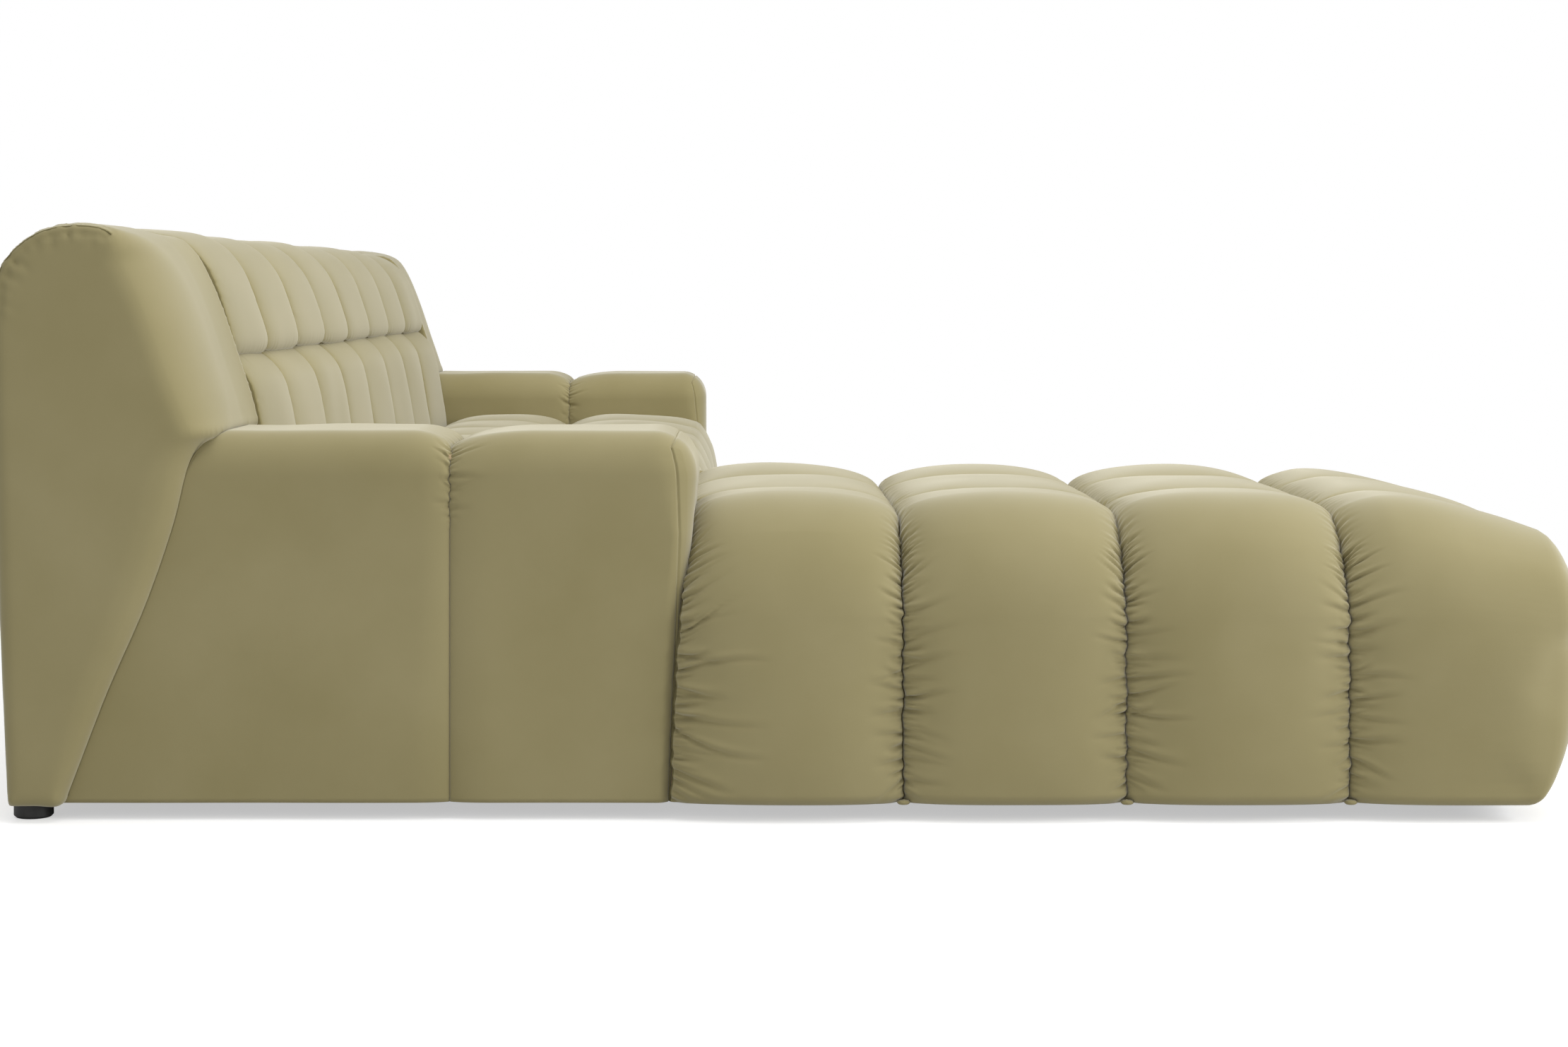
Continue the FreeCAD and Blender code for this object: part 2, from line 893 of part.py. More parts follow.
def hook_pockets(module):
    face = joint_face(module) + lining
    half, slot = plate_width / 2, tongue_width / 2 + pocket_fit
    top = plate_high - plate - pocket_drop
    shapes = []
    for v in hook_places:
        back = block((face, face + plate), (v - half, v + half), (plate_low, plate_high))
        reach = face + plate + pocket_slot
        along = (v - slot - plate, v + slot + plate)
        shell = block((face, reach + plate), along, (top - pocket_depth, top))
        hollow = block((face + plate, reach), (v - slot, v + slot), (0, height))
        shapes.append(drilled(joined([back, shell.cut(hollow)]), module, screw_radius + screw_fit))
    return shapes


def plate_screws(module):
    face = joint_face(module) + lining + plate
    shapes = []
    for v, z in plate_screw_places():
        head = rod(screw_head_radius, (face, v, z), (face + plate_screw_head, v, z))
        shapes.append(head.fuse(rod(screw_radius, (face - plate_screw_length, v, z), (face, v, z))))
    return shapes


# Assembly


def bored(shapes, module):
    """Frame pieces with the holes of the feet's and connectors' screws."""
    radius = screw_radius + screw_fit
    tip = foot_recess + foot_screw_length
    holes = [rod(radius, (u, v, 0), (u, v, tip)) for u, v in foot_places(module)]
    face = joint_face(module) + lining
    end = face + plate - plate_screw_length
    holes += [rod(radius, (end, v, z), (face, v, z)) for v, z in plate_screw_places()]
    return [shape.cut(holes) for shape in shapes]


def module_nodes(module):
    nodes = {
        "side_boards": bored(side_boards(module), module),
        "cross_boards": bored(cross_boards(module), module),
        "corner_blocks": bored(corner_blocks(module), module),
        "springs": [zigzag(*line) for line in spring_lines(module)],
        "spring_clips": spring_clips(module),
        "seat_felt": [layer(module, felt_floor, foam_floor)],
        "seat_foam": [layer(module, foam_floor, pad_floor)],
        "arm_frame": arm_frame(),
        "arm_rear_roll": [arm_roll(module, post_front, row_groove - clear / 2, False)],
        "arm_front_roll": [arm_roll(module, row_groove + clear / 2, seat_front, True)],
        "back_posts": bored(back_posts(module), module),
        "back_rails": back_rails(module),
        "back_webbing": back_webbing(module),
        "back_end_boards": end_boards(),
        "back_lower_rolls": [lower_rolls(module)],
        "back_upper_rolls": [upper_rolls(module)],
        "back_end_cap": [end_cap(module)],
        "rear_panel": [rear_panel(module)],
        "joint_lining": bored([joint_lining(module)], module),
        "dust_cover": bored([dust_cover(module)], module),
        "feet": feet(module),
        "foot_screws": foot_screws(module),
    }
    if module.rows:
        for index, name in enumerate(("outer_rolls", "middle_rolls", "inner_rolls")):
            nodes[name] = [chaise_column(module, index)]
        rear_row = seat_row(module, seat_rear, row_groove, False)
        front_row = seat_row(module, row_groove, seat_front, False)
        nodes["seat_rolls"] = [joined([rear_row, front_row])]
        nodes["hook_plates"] = hook_plates(module)
        nodes["hook_screws"] = plate_screws(module)
    else:
        nodes["seat_rear_rolls"] = [seat_row(module, seat_rear, row_groove - clear, False)]
        nodes["seat_front_rolls"] = [seat_row(module, row_groove, seat_front, True)]
        nodes["hook_pockets"] = hook_pockets(module)
        nodes["pocket_screws"] = plate_screws(module)
    return nodes


def main():
    os.makedirs("parts", exist_ok=True)
    for module in (chaise, sofa):
        for name, shapes in module_nodes(module).items():
            solids = [solid for shape in shapes for solid in shape.Solids]
            node = Part.makeCompound(solids)
            if module.mirrored:
                node = node.mirror(Vector(0, 0, 0), Vector(1, 0, 0))
            node.exportStep(f"parts/{module.name}_{name}.step")


main()
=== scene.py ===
import itertools
import json
import math

import bmesh
import bpy
import numpy as np
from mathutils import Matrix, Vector


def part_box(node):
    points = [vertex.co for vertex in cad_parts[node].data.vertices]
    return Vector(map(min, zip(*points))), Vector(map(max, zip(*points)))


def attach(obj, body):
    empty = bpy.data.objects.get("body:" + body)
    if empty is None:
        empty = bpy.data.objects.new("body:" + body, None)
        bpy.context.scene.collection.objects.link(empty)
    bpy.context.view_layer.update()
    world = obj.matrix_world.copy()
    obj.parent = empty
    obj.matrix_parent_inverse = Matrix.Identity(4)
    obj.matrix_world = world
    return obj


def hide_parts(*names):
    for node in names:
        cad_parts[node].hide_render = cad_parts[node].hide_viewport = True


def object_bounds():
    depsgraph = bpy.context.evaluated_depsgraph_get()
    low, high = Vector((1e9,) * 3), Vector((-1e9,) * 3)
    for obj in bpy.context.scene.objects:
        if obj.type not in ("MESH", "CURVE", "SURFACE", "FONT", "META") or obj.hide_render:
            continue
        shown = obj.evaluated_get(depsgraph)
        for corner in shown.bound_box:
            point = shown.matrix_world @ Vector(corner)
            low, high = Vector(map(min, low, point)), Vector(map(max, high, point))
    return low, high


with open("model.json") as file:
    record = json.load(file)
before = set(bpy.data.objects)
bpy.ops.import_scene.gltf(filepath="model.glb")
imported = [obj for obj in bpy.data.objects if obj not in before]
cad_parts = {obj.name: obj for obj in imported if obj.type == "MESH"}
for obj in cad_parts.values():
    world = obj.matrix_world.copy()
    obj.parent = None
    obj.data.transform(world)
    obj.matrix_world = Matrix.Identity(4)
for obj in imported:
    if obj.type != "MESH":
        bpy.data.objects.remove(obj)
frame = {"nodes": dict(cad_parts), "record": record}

# Looks of the lounge sofa, in metres. Places are u, v, z as on the frame: u across from a module's outer
# side, v forward from the rear, z up.

cad_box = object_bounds()

# Layout, the same as the frame's
half_width = cad_box[1].x
rear_y = cad_box[1].y
column = 0.280  # width of one padded column
row = 0.283  # length of one padded row of the chaise
chaise_rows = 4
columns = {"chaise": 3, "sofa": 7}
beside = 0.0015  # from the joint of the modules to the pads
seat_front = 0.868  # v of the front of the sofa's seat and of the arms
row_groove = 0.575  # v of the groove across the seat and the arms
seat_rear = 0.322  # v of the seat's rear, under the back
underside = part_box("chaise_outer_rolls")[0].z
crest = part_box("chaise_middle_rolls")[1].z
arm_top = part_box("chaise_arm_rear_roll")[1].z
pad_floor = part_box("sofa_seat_rear_rolls")[0].z
touching = 1e-6

# Pads
shoulder = 0.140  # reach of the round over the side edges
nose = 0.044  # reach of the round at the front edges
drape = 0.150  # height of both
seat_fall = 0.018  # how far the top falls toward the front edge of the seat
chaise_fall = 0.062  # and of the chaise
fall_length = 0.250
fall_power = 1.3
fall_hinge = 0.20  # height below which nothing falls
row_dip = 0.040  # depth of the grooves between rows, on top
side_dip = 0.032  # and down the sides
column_dip = 0.017  # and of those between columns
shoulder_dip = 0.022  # how much deeper they are where they turn over an edge
front_swell = 0.026  # how far the front pads stand proud
seat_tuck = (0.095, 0.062)  # height and depth of the draw-in under the front of the seat
chaise_tuck = (0.180, 0.082)  # and of the chaise
tuck_length = 0.16
hem = (0.014, 0.010)  # height and depth of the turned-in foot of the sides
inner_corner = 0.20  # length over which the chaise's inner edge turns round, from the seats' corner
corner_round = 0.1  # share of the round that is left at that corner
corner_dip = 0.4  # and of the groove's depth down its side
fullness = 2.3  # power of the pads' crowns: 2 is round, more is flatter
fine = 0.0016  # mesh step at a groove
coarse = 0.0085  # mesh step in the middle of a pad
fine_reach = 0.075  # from the one to the other
across_step = 0.0027  # mesh step across a pad
upright_step = 0.0018  # and up its sides
skin_step = 0.014  # and on the skin that is blown up
seam_shade_width = 0.0009  # half the width of the painted shade line in a groove
pad_waves = (0.22, 0.0022)  # size and depth of the unevenness
lean_gap = 0.006  # how far the first pad goes in behind the arm, which leans
lean_reach = 0.10  # length of it that leans too
lean_end = (0.30, 0.04)  # u up to which it does, and the width over which that ends
lean_seam_shade = 3  # how much wider its painted shade line is
tab_u = 0.024  # place of the cover's tucked ends under the grooves
tab_size = (0.008, 0.009, 0.0035)
tab_lift = 0.0015

# Arms
arm_recess = 0.028  # side of the arm behind the side of the end cap
arm_gap = 0.0006  # to the seat
arm_round = 0.046  # reach of the round over the long edges
arm_over = 0.056  # and its height
arm_turns = (0.024, 0.050)  # reach of the round at the front edges, low and high
arm_gathers = 0.13  # height of the gathered part of the groove
arm_groove_dip = 0.024  # on top
arm_groove_reach = 0.105
arm_side_dip = 0.010  # and down the sides
arm_side_reach = 0.055
arm_fold_span = (0.125, 0.06)  # gathers up to the top's level, and on over the top
arm_fold_centre = 0.09  # below the top, from where they fan out
arm_fold_fan = 8.0
arm_shade_height = 0.10  # height of the painted shade line in it
arm_waves = (0.30, 0.0016)
arm_seam = 0.019  # front edge to the seam beside it, at the top
arm_seam_depth = 0.0026
arm_seam_width = 0.0016
arm_under_cap = 0.012  # how far the arm goes in under the end cap

# Back
roll_dip = 0.012  # depth of the channels on the front
brow_dip = 0.018  # where they turn over to the top
top_dip = 0.006  # and on top
roll_rear = 0.064  # v of the rolls' flat rear
roll_seam_shade = 0.008  # painted shade strip at the seam between the rows
roll_waves = (0.2, 0.0026)
roll_settling = 0.008  # most that the top of a roll sinks
roll_settled = (0.69, 0.05)  # height from which it does, and on up to where it is sunk
first_tuck = 0.003  # how far the first roll goes in behind the end cap
first_dip = 0.5  # share of a channel's depth there
panel_top = 0.6645
panel_front = 0.0215  # v of the front of the rear panel
cap_gap = 0.0005  # to the first rolls
cap_turn = 0.03  # width of the close mesh at the cap's side

# Small gathers at the seams
pucker_gap = 0.0080
pucker_width = 0.0022
pucker_length = 0.42  # share of the creases' length
pucker_depth = 0.9  # and of their depth
crease_gap = 0.0230
crease_width = 0.0028
fold_start = 0.028  # height at which they start
fold_centre = 0.15  # height from which they fan out
fold_fan = 4.2
front_folds = 0.75  # share of their length at a pad's front edge
lean_folds = 1.5  # and beside the arm
channel_shift = 0.1  # of those between columns, along their groove
seam_ease = 0.004  # distance over which they rise from a seam
wander_depth = 0.0006
wander_reach = 0.03

# Swelling of the pads
swell_pressure = 4.0
swell_frames = 20
swell_limit = 0.022
swell_rounds = 3  # of averaging


def unit(values):
    """Values held between 0 and 1."""
    return np.clip(values, 0, 1)


def place(module, points):
    """Frame places of u, v, z points of a module; the sofa's run the other way."""
    points = np.asarray(points, float)
    side = 1.0 if module == "chaise" else -1.0
    world = np.empty_like(points)
    world[..., 0] = side * (points[..., 0] - half_width)
    world[..., 1] = rear_y - points[..., 1]
    world[..., 2] = points[..., 2]
    return world


def spaced(low, high, low_fine, high_fine, middle=coarse):
    """Values from low to high, close together at the ends that meet a groove."""
    length = high - low
    samples = np.linspace(0, 1, 400)
    near = np.full_like(samples, middle)
    for is_fine, distance in ((low_fine, samples * length), (high_fine, (1 - samples) * length)):
        if is_fine:
            share = unit(distance / fine_reach)
            near = np.minimum(near, fine + (middle - fine) * share)
    pace = 0.5 / near[1:] + 0.5 / near[:-1]
    density = np.concatenate([[0], np.cumsum(pace) * length / (len(samples) - 1)])
    count = max(2, int(round(density[-1])))
    return low + length * np.interp(np.linspace(0, density[-1], count + 1), density, samples)


def even(low, high, step):
    return np.linspace(low, high, max(2, int(round((high - low) / step))) + 1)


# Faces of a box: the axis that they stand across, and whether they are at its end
box_faces = {"low": (0, 0), "high": (0, 1), "rear": (1, 0), "front": (1, 1), "floor": (2, 0), "top": (2, 1)}


class Lattice:
    """Quads on chosen faces of a box of u, v and z lines, with plain caps on the rest."""

    def __init__(self, us, vs, zs, shown):
        self.lines = (np.asarray(us), np.asarray(vs), np.asarray(zs))
        self.index = {}
        self.points = []
        self.faces = []
        for face in shown:
            self.add_grid(face)
        for face in box_faces:
            if face not in shown:
                self.add_cap(face)
        self.points = np.array(self.points)

    def corner(self, key):
        if key not in self.index:
            self.index[key] = len(self.points)
            self.points.append([self.lines[axis][key[axis]] for axis in range(3)])
        return self.index[key]

    def face_key(self, face, a, b):
        axis, at_end = box_faces[face]
        key = [a, b]
        key.insert(axis, at_end * (len(self.lines[axis]) - 1))
        return tuple(key)

    def spans(self, face):
        return tuple(len(line) - 1 for axis, line in enumerate(self.lines) if axis != box_faces[face][0])

    def add_grid(self, face):
        across, along = self.spans(face)
        ids = [[self.corner(self.face_key(face, a, b)) for b in range(along + 1)] for a in range(across + 1)]
        for a in range(across):
            for b in range(along):
                self.faces.append((ids[a][b], ids[a + 1][b], ids[a + 1][b + 1], ids[a][b + 1]))

    def add_cap(self, face):
        """One flat face through the edge points that are already there, with its own corners added."""
        across, along = self.spans(face)
        loop = [(a, 0) for a in range(across)] + [(across, b) for b in range(along)]
        loop += [(a, along) for a in range(across, 0, -1)] + [(0, b) for b in range(along, 0, -1)]
        corners = {(0, 0), (across, 0), (across, along), (0, along)}
        keys = [(self.face_key(face, a, b), (a, b) in corners) for a, b in loop]
        ids = [self.corner(key) for key, is_corner in keys if is_corner or key in self.index]
        self.faces.append(tuple(ids))


def crown(distance, reach, power=fullness):
    """Share of a groove's depth at a distance from it: 1 in the groove, 0 on the crest."""
    share = unit(1 - distance / reach)
    return 1 - (1 - share**power) ** (1 / power)


def rounded(points, low, high, radii):
    """Points of a box moved to its rounded form, and the outward direction there."""
    inner = np.clip(points, low, high)
    way = (points - inner) / radii
    way /= np.maximum(np.linalg.norm(way, axis=1), 1e-9)[:, None]
    return inner + way * radii, way


def waves(points, seed, size, depth):
    """Soft uneven fullness of hand-made upholstery."""
    rng = np.random.default_rng(seed)
    count = 5
    total = np.zeros(len(points))
    for _ in range(count):
        direction = rng.normal(size=3)
        direction *= 2 * math.pi / (size * rng.uniform(0.7, 1.6)) / np.linalg.norm(direction)
        total += np.sin(points @ direction + rng.uniform(0, 2 * math.pi))
    return total * depth / count


def gathers(along, away, span, seed, length, depth, centre, fan, spacing, width):
    """Height of the small folds beside a seam, for points along it and away from it.

    Each fold is a crease with a ridge beside it, and has its own length, depth, slope, bend and width.
    """
    rng = np.random.default_rng(seed)
    height = np.zeros(len(along))
    place_along = span[0]
    while place_along < span[1]:
        reach = length(place_along) * rng.uniform(0.55, 1.45)
        strong = depth(place_along) * rng.uniform(0.5, 1.3)
        slope = np.clip((place_along - centre) * fan, -1.1, 1.1) + rng.normal(0, 0.2)
        bend = rng.normal(0, 1.6)
        thick = width * rng.uniform(0.75, 1.3)
        near = (away < reach) & (np.abs(along - place_along) < 0.03 + reach * (1.3 + abs(slope)))
        d = away[near]
        share = d / reach
        offset = along[near] - (place_along + slope * d + bend * d * d)
        spread = thick * (0.8 + 0.7 * share)
        fade = (1 - share) ** 1.1
        crease = -np.exp(-((np.abs(offset) / spread) ** 1.4))
        ridge = 0.5 * np.exp(-(((offset - 2.3 * spread) / (1.6 * spread)) ** 2))
        height[near] += strong * fade * (crease + ridge)
        place_along += spacing * rng.uniform(0.6, 1.5)
    return height


def wander(along, seed):
    """Small sideways wandering of a seam."""
    rng = np.random.default_rng(seed)
    total = np.zeros(len(along))
    for size in (0.017, 0.024, 0.035, 0.06, 0.1):
        total += np.sin(along * 2 * math.pi / (size * rng.uniform(0.85, 1.15)) + rng.uniform(0, 2 * math.pi))
    return wander_depth * total


def scaled(share, values):
    """A function's values times a share."""
    return lambda at: share * values(at)


def seam_folds(along, away, span, seed, length, depth, centre, fan):
    """Close puckers along a seam with longer creases among them."""
    short = (scaled(pucker_length, length), scaled(pucker_depth, depth))
    height = gathers(along, away, span, seed, *short, centre, fan, pucker_gap, pucker_width)
    height += gathers(along, away, span, seed + 5000, length, depth, centre, fan, crease_gap, crease_width)
    return height * (0.55 + 0.45 * unit(away / seam_ease))


def new_mesh(name, points, faces):
    mesh = bpy.data.meshes.new(name)
    mesh.from_pydata(points.tolist(), [], [tuple(map(int, face)) for face in faces])
    return mesh


def linked(name, data):
    holder = bpy.data.objects.new(name, data)
    bpy.context.scene.collection.objects.link(holder)
    return holder


def finish_mesh(name, module, points, faces, seam_shade):
    """A shown piece from u, v, z points, with its faces turned outward. Seam faces take the darker,
    sheen-free velvet, which paints the shade in the seams.
    """
    mesh = new_mesh(name, place(module, points), faces)
    mesh.materials.append(velvet)
    mesh.materials.append(seam_shade_velvet)
    mesh.polygons.foreach_set("material_index", np.asarray(seam_shade, np.int32))
    shape = bmesh.new()
    shape.from_mesh(mesh)
    bmesh.ops.remove_doubles(shape, verts=shape.verts, dist=touching)
    bmesh.ops.recalc_face_normals(shape, faces=shape.faces)
    for face in shape.faces:
        face.smooth = len(face.verts) <= 4
    shape.to_mesh(mesh)
    shape.free()
    return linked(name, mesh)


def seam_shade_faces(faces, near):
    """Which faces lie in a seam and take the painted seam shade, from the points that do. Plain caps always
    count, painted as shade too.
    """
    return [len(face) > 4 or all(near[i] for i in face) for face in faces]


def merged(parts):
    """Points, faces and seams of several parts as one."""
    points, faces, seam_shade, count = [], [], [], 0
    for part_points, part_faces, part_seam_shade in parts:
        points.append(part_points)
        faces += [tuple(i + count for i in face) for face in part_faces]
        seam_shade += part_seam_shade
        count += len(part_points)
    return np.concatenate(points), faces, seam_shade


def dress(piece, module, nodes):
    """Makes a velvet piece ride on its module in place of frame nodes."""
    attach(piece, module + "_module")
    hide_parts(*nodes)


def upholster(module, name, shape):
    """A velvet piece of some points, faces and seams for one frame node."""
    piece = finish_mesh(name + "_velvet", module, *shape)
    dress(piece, module, [name])


def evened(moves, faces, held):
    """Moves of a skin averaged with their neighbours', with the held points left still."""
    edges = np.array([(a, b) for face in faces if len(face) == 4 for a, b in zip(face, face[1:] + face[:1])])
    count = np.bincount(edges.ravel(), minlength=len(moves)).astype(float)
    for _ in range(swell_rounds):
        total = np.zeros_like(moves)
        np.add.at(total, edges[:, 0], moves[edges[:, 1]])
        np.add.at(total, edges[:, 1], moves[edges[:, 0]])
        moves = 0.5 * moves + 0.5 * total / np.maximum(count, 1)[:, None]
        moves[held] = 0
    return moves


def inflate(points, faces, held):
    """How far each point of a padded skin moves when it is blown up with its seams held."""
    mesh = new_mesh("skin", points, faces)
    shape = bmesh.new()
    shape.from_mesh(mesh)
    bmesh.ops.recalc_face_normals(shape, faces=shape.faces)
    shape.to_mesh(mesh)
    shape.free()
    skin = linked("skin", mesh)
    group = skin.vertex_groups.new(name="held")
    group.add([int(i) for i in np.flatnonzero(held)], 1.0, "REPLACE")
    cloth = skin.modifiers.new("cloth", "CLOTH")
    settings = cloth.settings
    settings.quality = 5
    settings.mass = 0.3
    settings.tension_stiffness = 18
    settings.compression_stiffness = 18
    settings.shear_stiffness = 8
    settings.bending_stiffness = 0.6
    settings.use_pressure = True
    settings.uniform_pressure_force = swell_pressure
    settings.vertex_group_mass = "held"
    settings.effector_weights.gravity = 0
    cloth.point_cache.frame_start = 1
    cloth.point_cache.frame_end = swell_frames
    scene = bpy.context.scene
    for step in range(1, swell_frames + 1):
        scene.frame_set(step)
    blown = skin.evaluated_get(bpy.context.evaluated_depsgraph_get())
    after = np.empty(len(points) * 3)
    blown.data.vertices.foreach_get("co", after)
    moves = after.reshape(-1, 3) - points
    far = np.linalg.norm(moves, axis=1)
    moves *= np.minimum(1, swell_limit / np.maximum(far, 1e-9))[:, None]
    moves = evened(moves, faces, held)
    bpy.data.objects.remove(skin)
    scene.frame_set(1)
    return moves


def carried(rough, moves, targets):
    """Moves of a coarse skin, carried to the places of a fine one on the same box."""
    grid = np.zeros([len(line) for line in rough.lines] + [3])
    for key, index in rough.index.items():
        grid[key] = moves[index]
    cells, shares = [], []
    for axis, line in enumerate(rough.lines):
        cell = np.clip(np.searchsorted(line, targets[:, axis], side="right") - 1, 0, len(line) - 2)
        cells.append(cell)
        shares.append((targets[:, axis] - line[cell]) / (line[cell + 1] - line[cell]))
    result = np.zeros_like(targets)
    for corner in itertools.product((0, 1), repeat=3):
        weight = np.prod([share if far else 1 - share for far, share in zip(corner, shares)], axis=0)
        result += weight[:, None] * grid[tuple(cell + far for far, cell in zip(corner, cells))]
    return result


def lean(z):
    """How far the front of the chaise's arm leans forward at a height."""
    heights = (0.03, 0.17, 0.29, 0.36, 0.43)
    return np.interp(z, heights, (-0.007, -0.001, 0.008, 0.015, 0.021))


def front_tuck(z, height, depth):
    """How far the front draws in under itself near the floor."""
    share = unit((underside + height - z) / height)
    return depth * (1 - np.sqrt(np.maximum(0, 1 - share**2)))


def pad_form(flat, u, v, low, high, front, bottom, squared):
    """Plain form of a seat pad: its points, their outward directions and how deep in a groove they are."""
    flat_u, flat_v, flat_z = flat.T
    radii = np.tile([shoulder, nose, drape], (len(flat), 1))
    if squared:
        share = unit((flat_v - v[0]) / inner_corner)
        radii[:, (0, 2)] *= (corner_round + (1 - corner_round) * share**2 * (3 - 2 * share))[:, None]
    ones = np.ones(len(flat))
    lowest = np.column_stack([u[0] + radii[:, 0] * low, v[0] * ones, (bottom - 1) * ones])
    highest = np.column_stack([u[1] - radii[:, 0] * high, v[1] - radii[:, 1] * front, crest - radii[:, 2]])
    points, way = rounded(flat, lowest, highest, radii)
    half = (v[1] - v[0]) / 2
    upward = np.abs(way[:, 2])
    over_edge = 2 * upward * np.hypot(way[:, 0], way[:, 1])
    side = side_dip * (corner_dip if squared else 1.0)
    dip = side + (row_dip - side) * upward + shoulder_dip * over_edge
    ends = crown(flat_v - v[0], half)
    if not front:
        ends = ends + crown(v[1] - flat_v, half)
    drop = dip * ends
    channel = column_dip + 0.5 * shoulder_dip * over_edge
    if not low:
        drop = np.hypot(drop, channel * crown(flat_u - u[0], column / 2))
    if not high:
        drop = np.hypot(drop, channel * crown(u[1] - flat_u, column / 2))
    points = points - way * drop[:, None]
    if low or high:
        tuck = hem[1] * unit((underside + hem[0] - flat_z) / hem[0]) ** 2
        points[:, 0] += np.where(way[:, 0] < -0.5, tuck, 0) - np.where(way[:, 0] > 0.5, tuck, 0)
    if front:
        on_chaise = v[1] > seat_front + row
        fall = unit((flat_v - (v[1] - fall_length)) / fall_length) ** fall_power
        fall *= chaise_fall if on_chaise else seat_fall
        points[:, 2] -= np.maximum(points[:, 2] - fall_hinge, 0) * fall / (crest - fall_hinge)
        weight = unit((flat_v - (v[1] - tuck_length)) / tuck_length) ** 2
        points[:, 1] -= front_tuck(flat_z, *(chaise_tuck if on_chaise else seat_tuck)) * weight
    return points, way, ends


def fold_length(at):
    """Reach of the gathers, from the floor up the side and over the top."""
    places = (0.02, 0.07, 0.14, 0.25, 0.33, 0.42, 0.6)
    return np.interp(at, places, (0.034, 0.052, 0.060, 0.052, 0.038, 0.022, 0.014))


def fold_depth(at):
    places = (0.02, 0.06, 0.2, 0.33, 0.45, 0.6)
    return np.interp(at, places, (0.0046, 0.0072, 0.0072, 0.0056, 0.0030, 0.0015))


def channel_length(at):
    """Reach of the gathers between columns, up the front and back over the top."""
    return 0.5 * fold_length(at - channel_shift)


def channel_depth(at):
    return 0.4 * fold_depth(at - channel_shift)


def seat_pad(
    u, v, seed, low=False, high=False, front=False, leaning=False, squared=False, detail=1.0, grooves=(0, 1)
):
    """One pad of the tufted seat: points, faces and seams."""
    v = (v[0], v[1] + front_swell * front)
    is_open = low or high or front
    bottom = underside if is_open else pad_floor
    shown = ["top"] + ["low"] * low + ["high"] * high + ["front"] * front
    us = spaced(u[0], u[1], not low, not high, across_step * detail)
    vs = spaced(v[0], v[1], True, not front)
    zs = even(bottom, crest, upright_step * detail) if is_open else np.array([bottom, crest])
    net = Lattice(us, vs, zs, shown)
    rough_zs = even(bottom, crest, skin_step) if is_open else zs
    rough = Lattice(even(*u, skin_step), even(*v, skin_step), rough_zs, shown)
    flat = net.points
    flat_u, flat_v, flat_z = flat.T
    points, way, ends = pad_form(flat, u, v, low, high, front, bottom, squared)
    skin = pad_form(rough.points, u, v, low, high, front, bottom, squared)[0]
    held = rough.points[:, 2] < bottom + touching
    for is_free, axis, at in ((False, 1, v[0]), (front, 1, v[1]), (low, 0, u[0]), (high, 0, u[1])):
        if not is_free:
            held |= np.abs(rough.points[:, axis] - at) < touching
    points += carried(rough, inflate(skin, rough.faces, held), flat)

    to_rear = flat_v - v[0]
    row_grooves = [(to_rear, lean_folds if leaning else 1.0)]
    if not front:
        row_grooves.append((v[1] - flat_v, front_folds))
    outer = u[0] if low else u[1]
    around = flat_z + np.abs(flat_u - outer) if low or high else flat_u - u[0] + crest
    span = (fold_start if is_open else bottom, around.max())
    folds = np.zeros(len(flat))
    nearest = to_rear
    for number, (away, share) in enumerate(row_grooves):
        nearest = np.minimum(nearest, away)
        folds += seam_folds(
            around, away, span, seed + number, scaled(share, fold_length), fold_depth, fold_centre, fold_fan
        )
    over = np.where(flat_v >= v[1] - touching, flat_z, crest + v[1] - flat_v)
    span = (over.min(), over.max())
    for is_edge, away, number in ((low, flat_u - u[0], 2), (high, u[1] - flat_u, 3)):
        if not is_edge:
            nearest = np.minimum(nearest, away)
            folds += seam_folds(over, away, span, seed + number, channel_length, channel_depth, 0.2, 1.0)
    uneven = waves(flat, seed + 9, *pad_waves) * unit(1 - ends)
    points += way * (folds - uneven)[:, None]
    for (away, _), groove in zip(row_grooves, grooves):
        points[:, 1] += wander(around, 40 + groove) * unit(1 - away / wander_reach)
    if leaning:
        shift = (lean(points[:, 2]) - lean_gap) * unit(1 - to_rear / lean_reach) ** 2
        points[:, 1] += shift * unit((lean_end[0] - points[:, 0]) / lean_end[1])
    # Faces this close to a groove take the darker velvet: painted shade, wider beside the leaning arm.
    dark = seam_shade_width * (lean_seam_shade if leaning else 1)
    return points, net.faces, seam_shade_faces(net.faces, nearest < dark)


def fabric_tab(v):
    """Small tucked end of the cover at the foot of a groove: points, faces and seams."""
    rings, steps = 5, 10
    across, along, height = tab_size
    points, faces = [], []
    for ring in range(rings):
        turn = math.pi * (ring / (rings - 1) - 0.5)
        for step in range(steps):
            angle = 2 * math.pi * step / steps
            at_u = tab_u + across * math.cos(turn) * math.cos(angle)
            at_v = v + along * math.cos(turn) * math.sin(angle)
            points.append((at_u, at_v, underside + tab_lift + height * math.sin(turn)))
    for ring in range(rings - 1):
        for step in range(steps):
            a, b = ring * steps + step, ring * steps + (step + 1) % steps
            faces.append((a, b, b + steps, a + steps))
    return np.array(points), faces, [False] * len(faces)


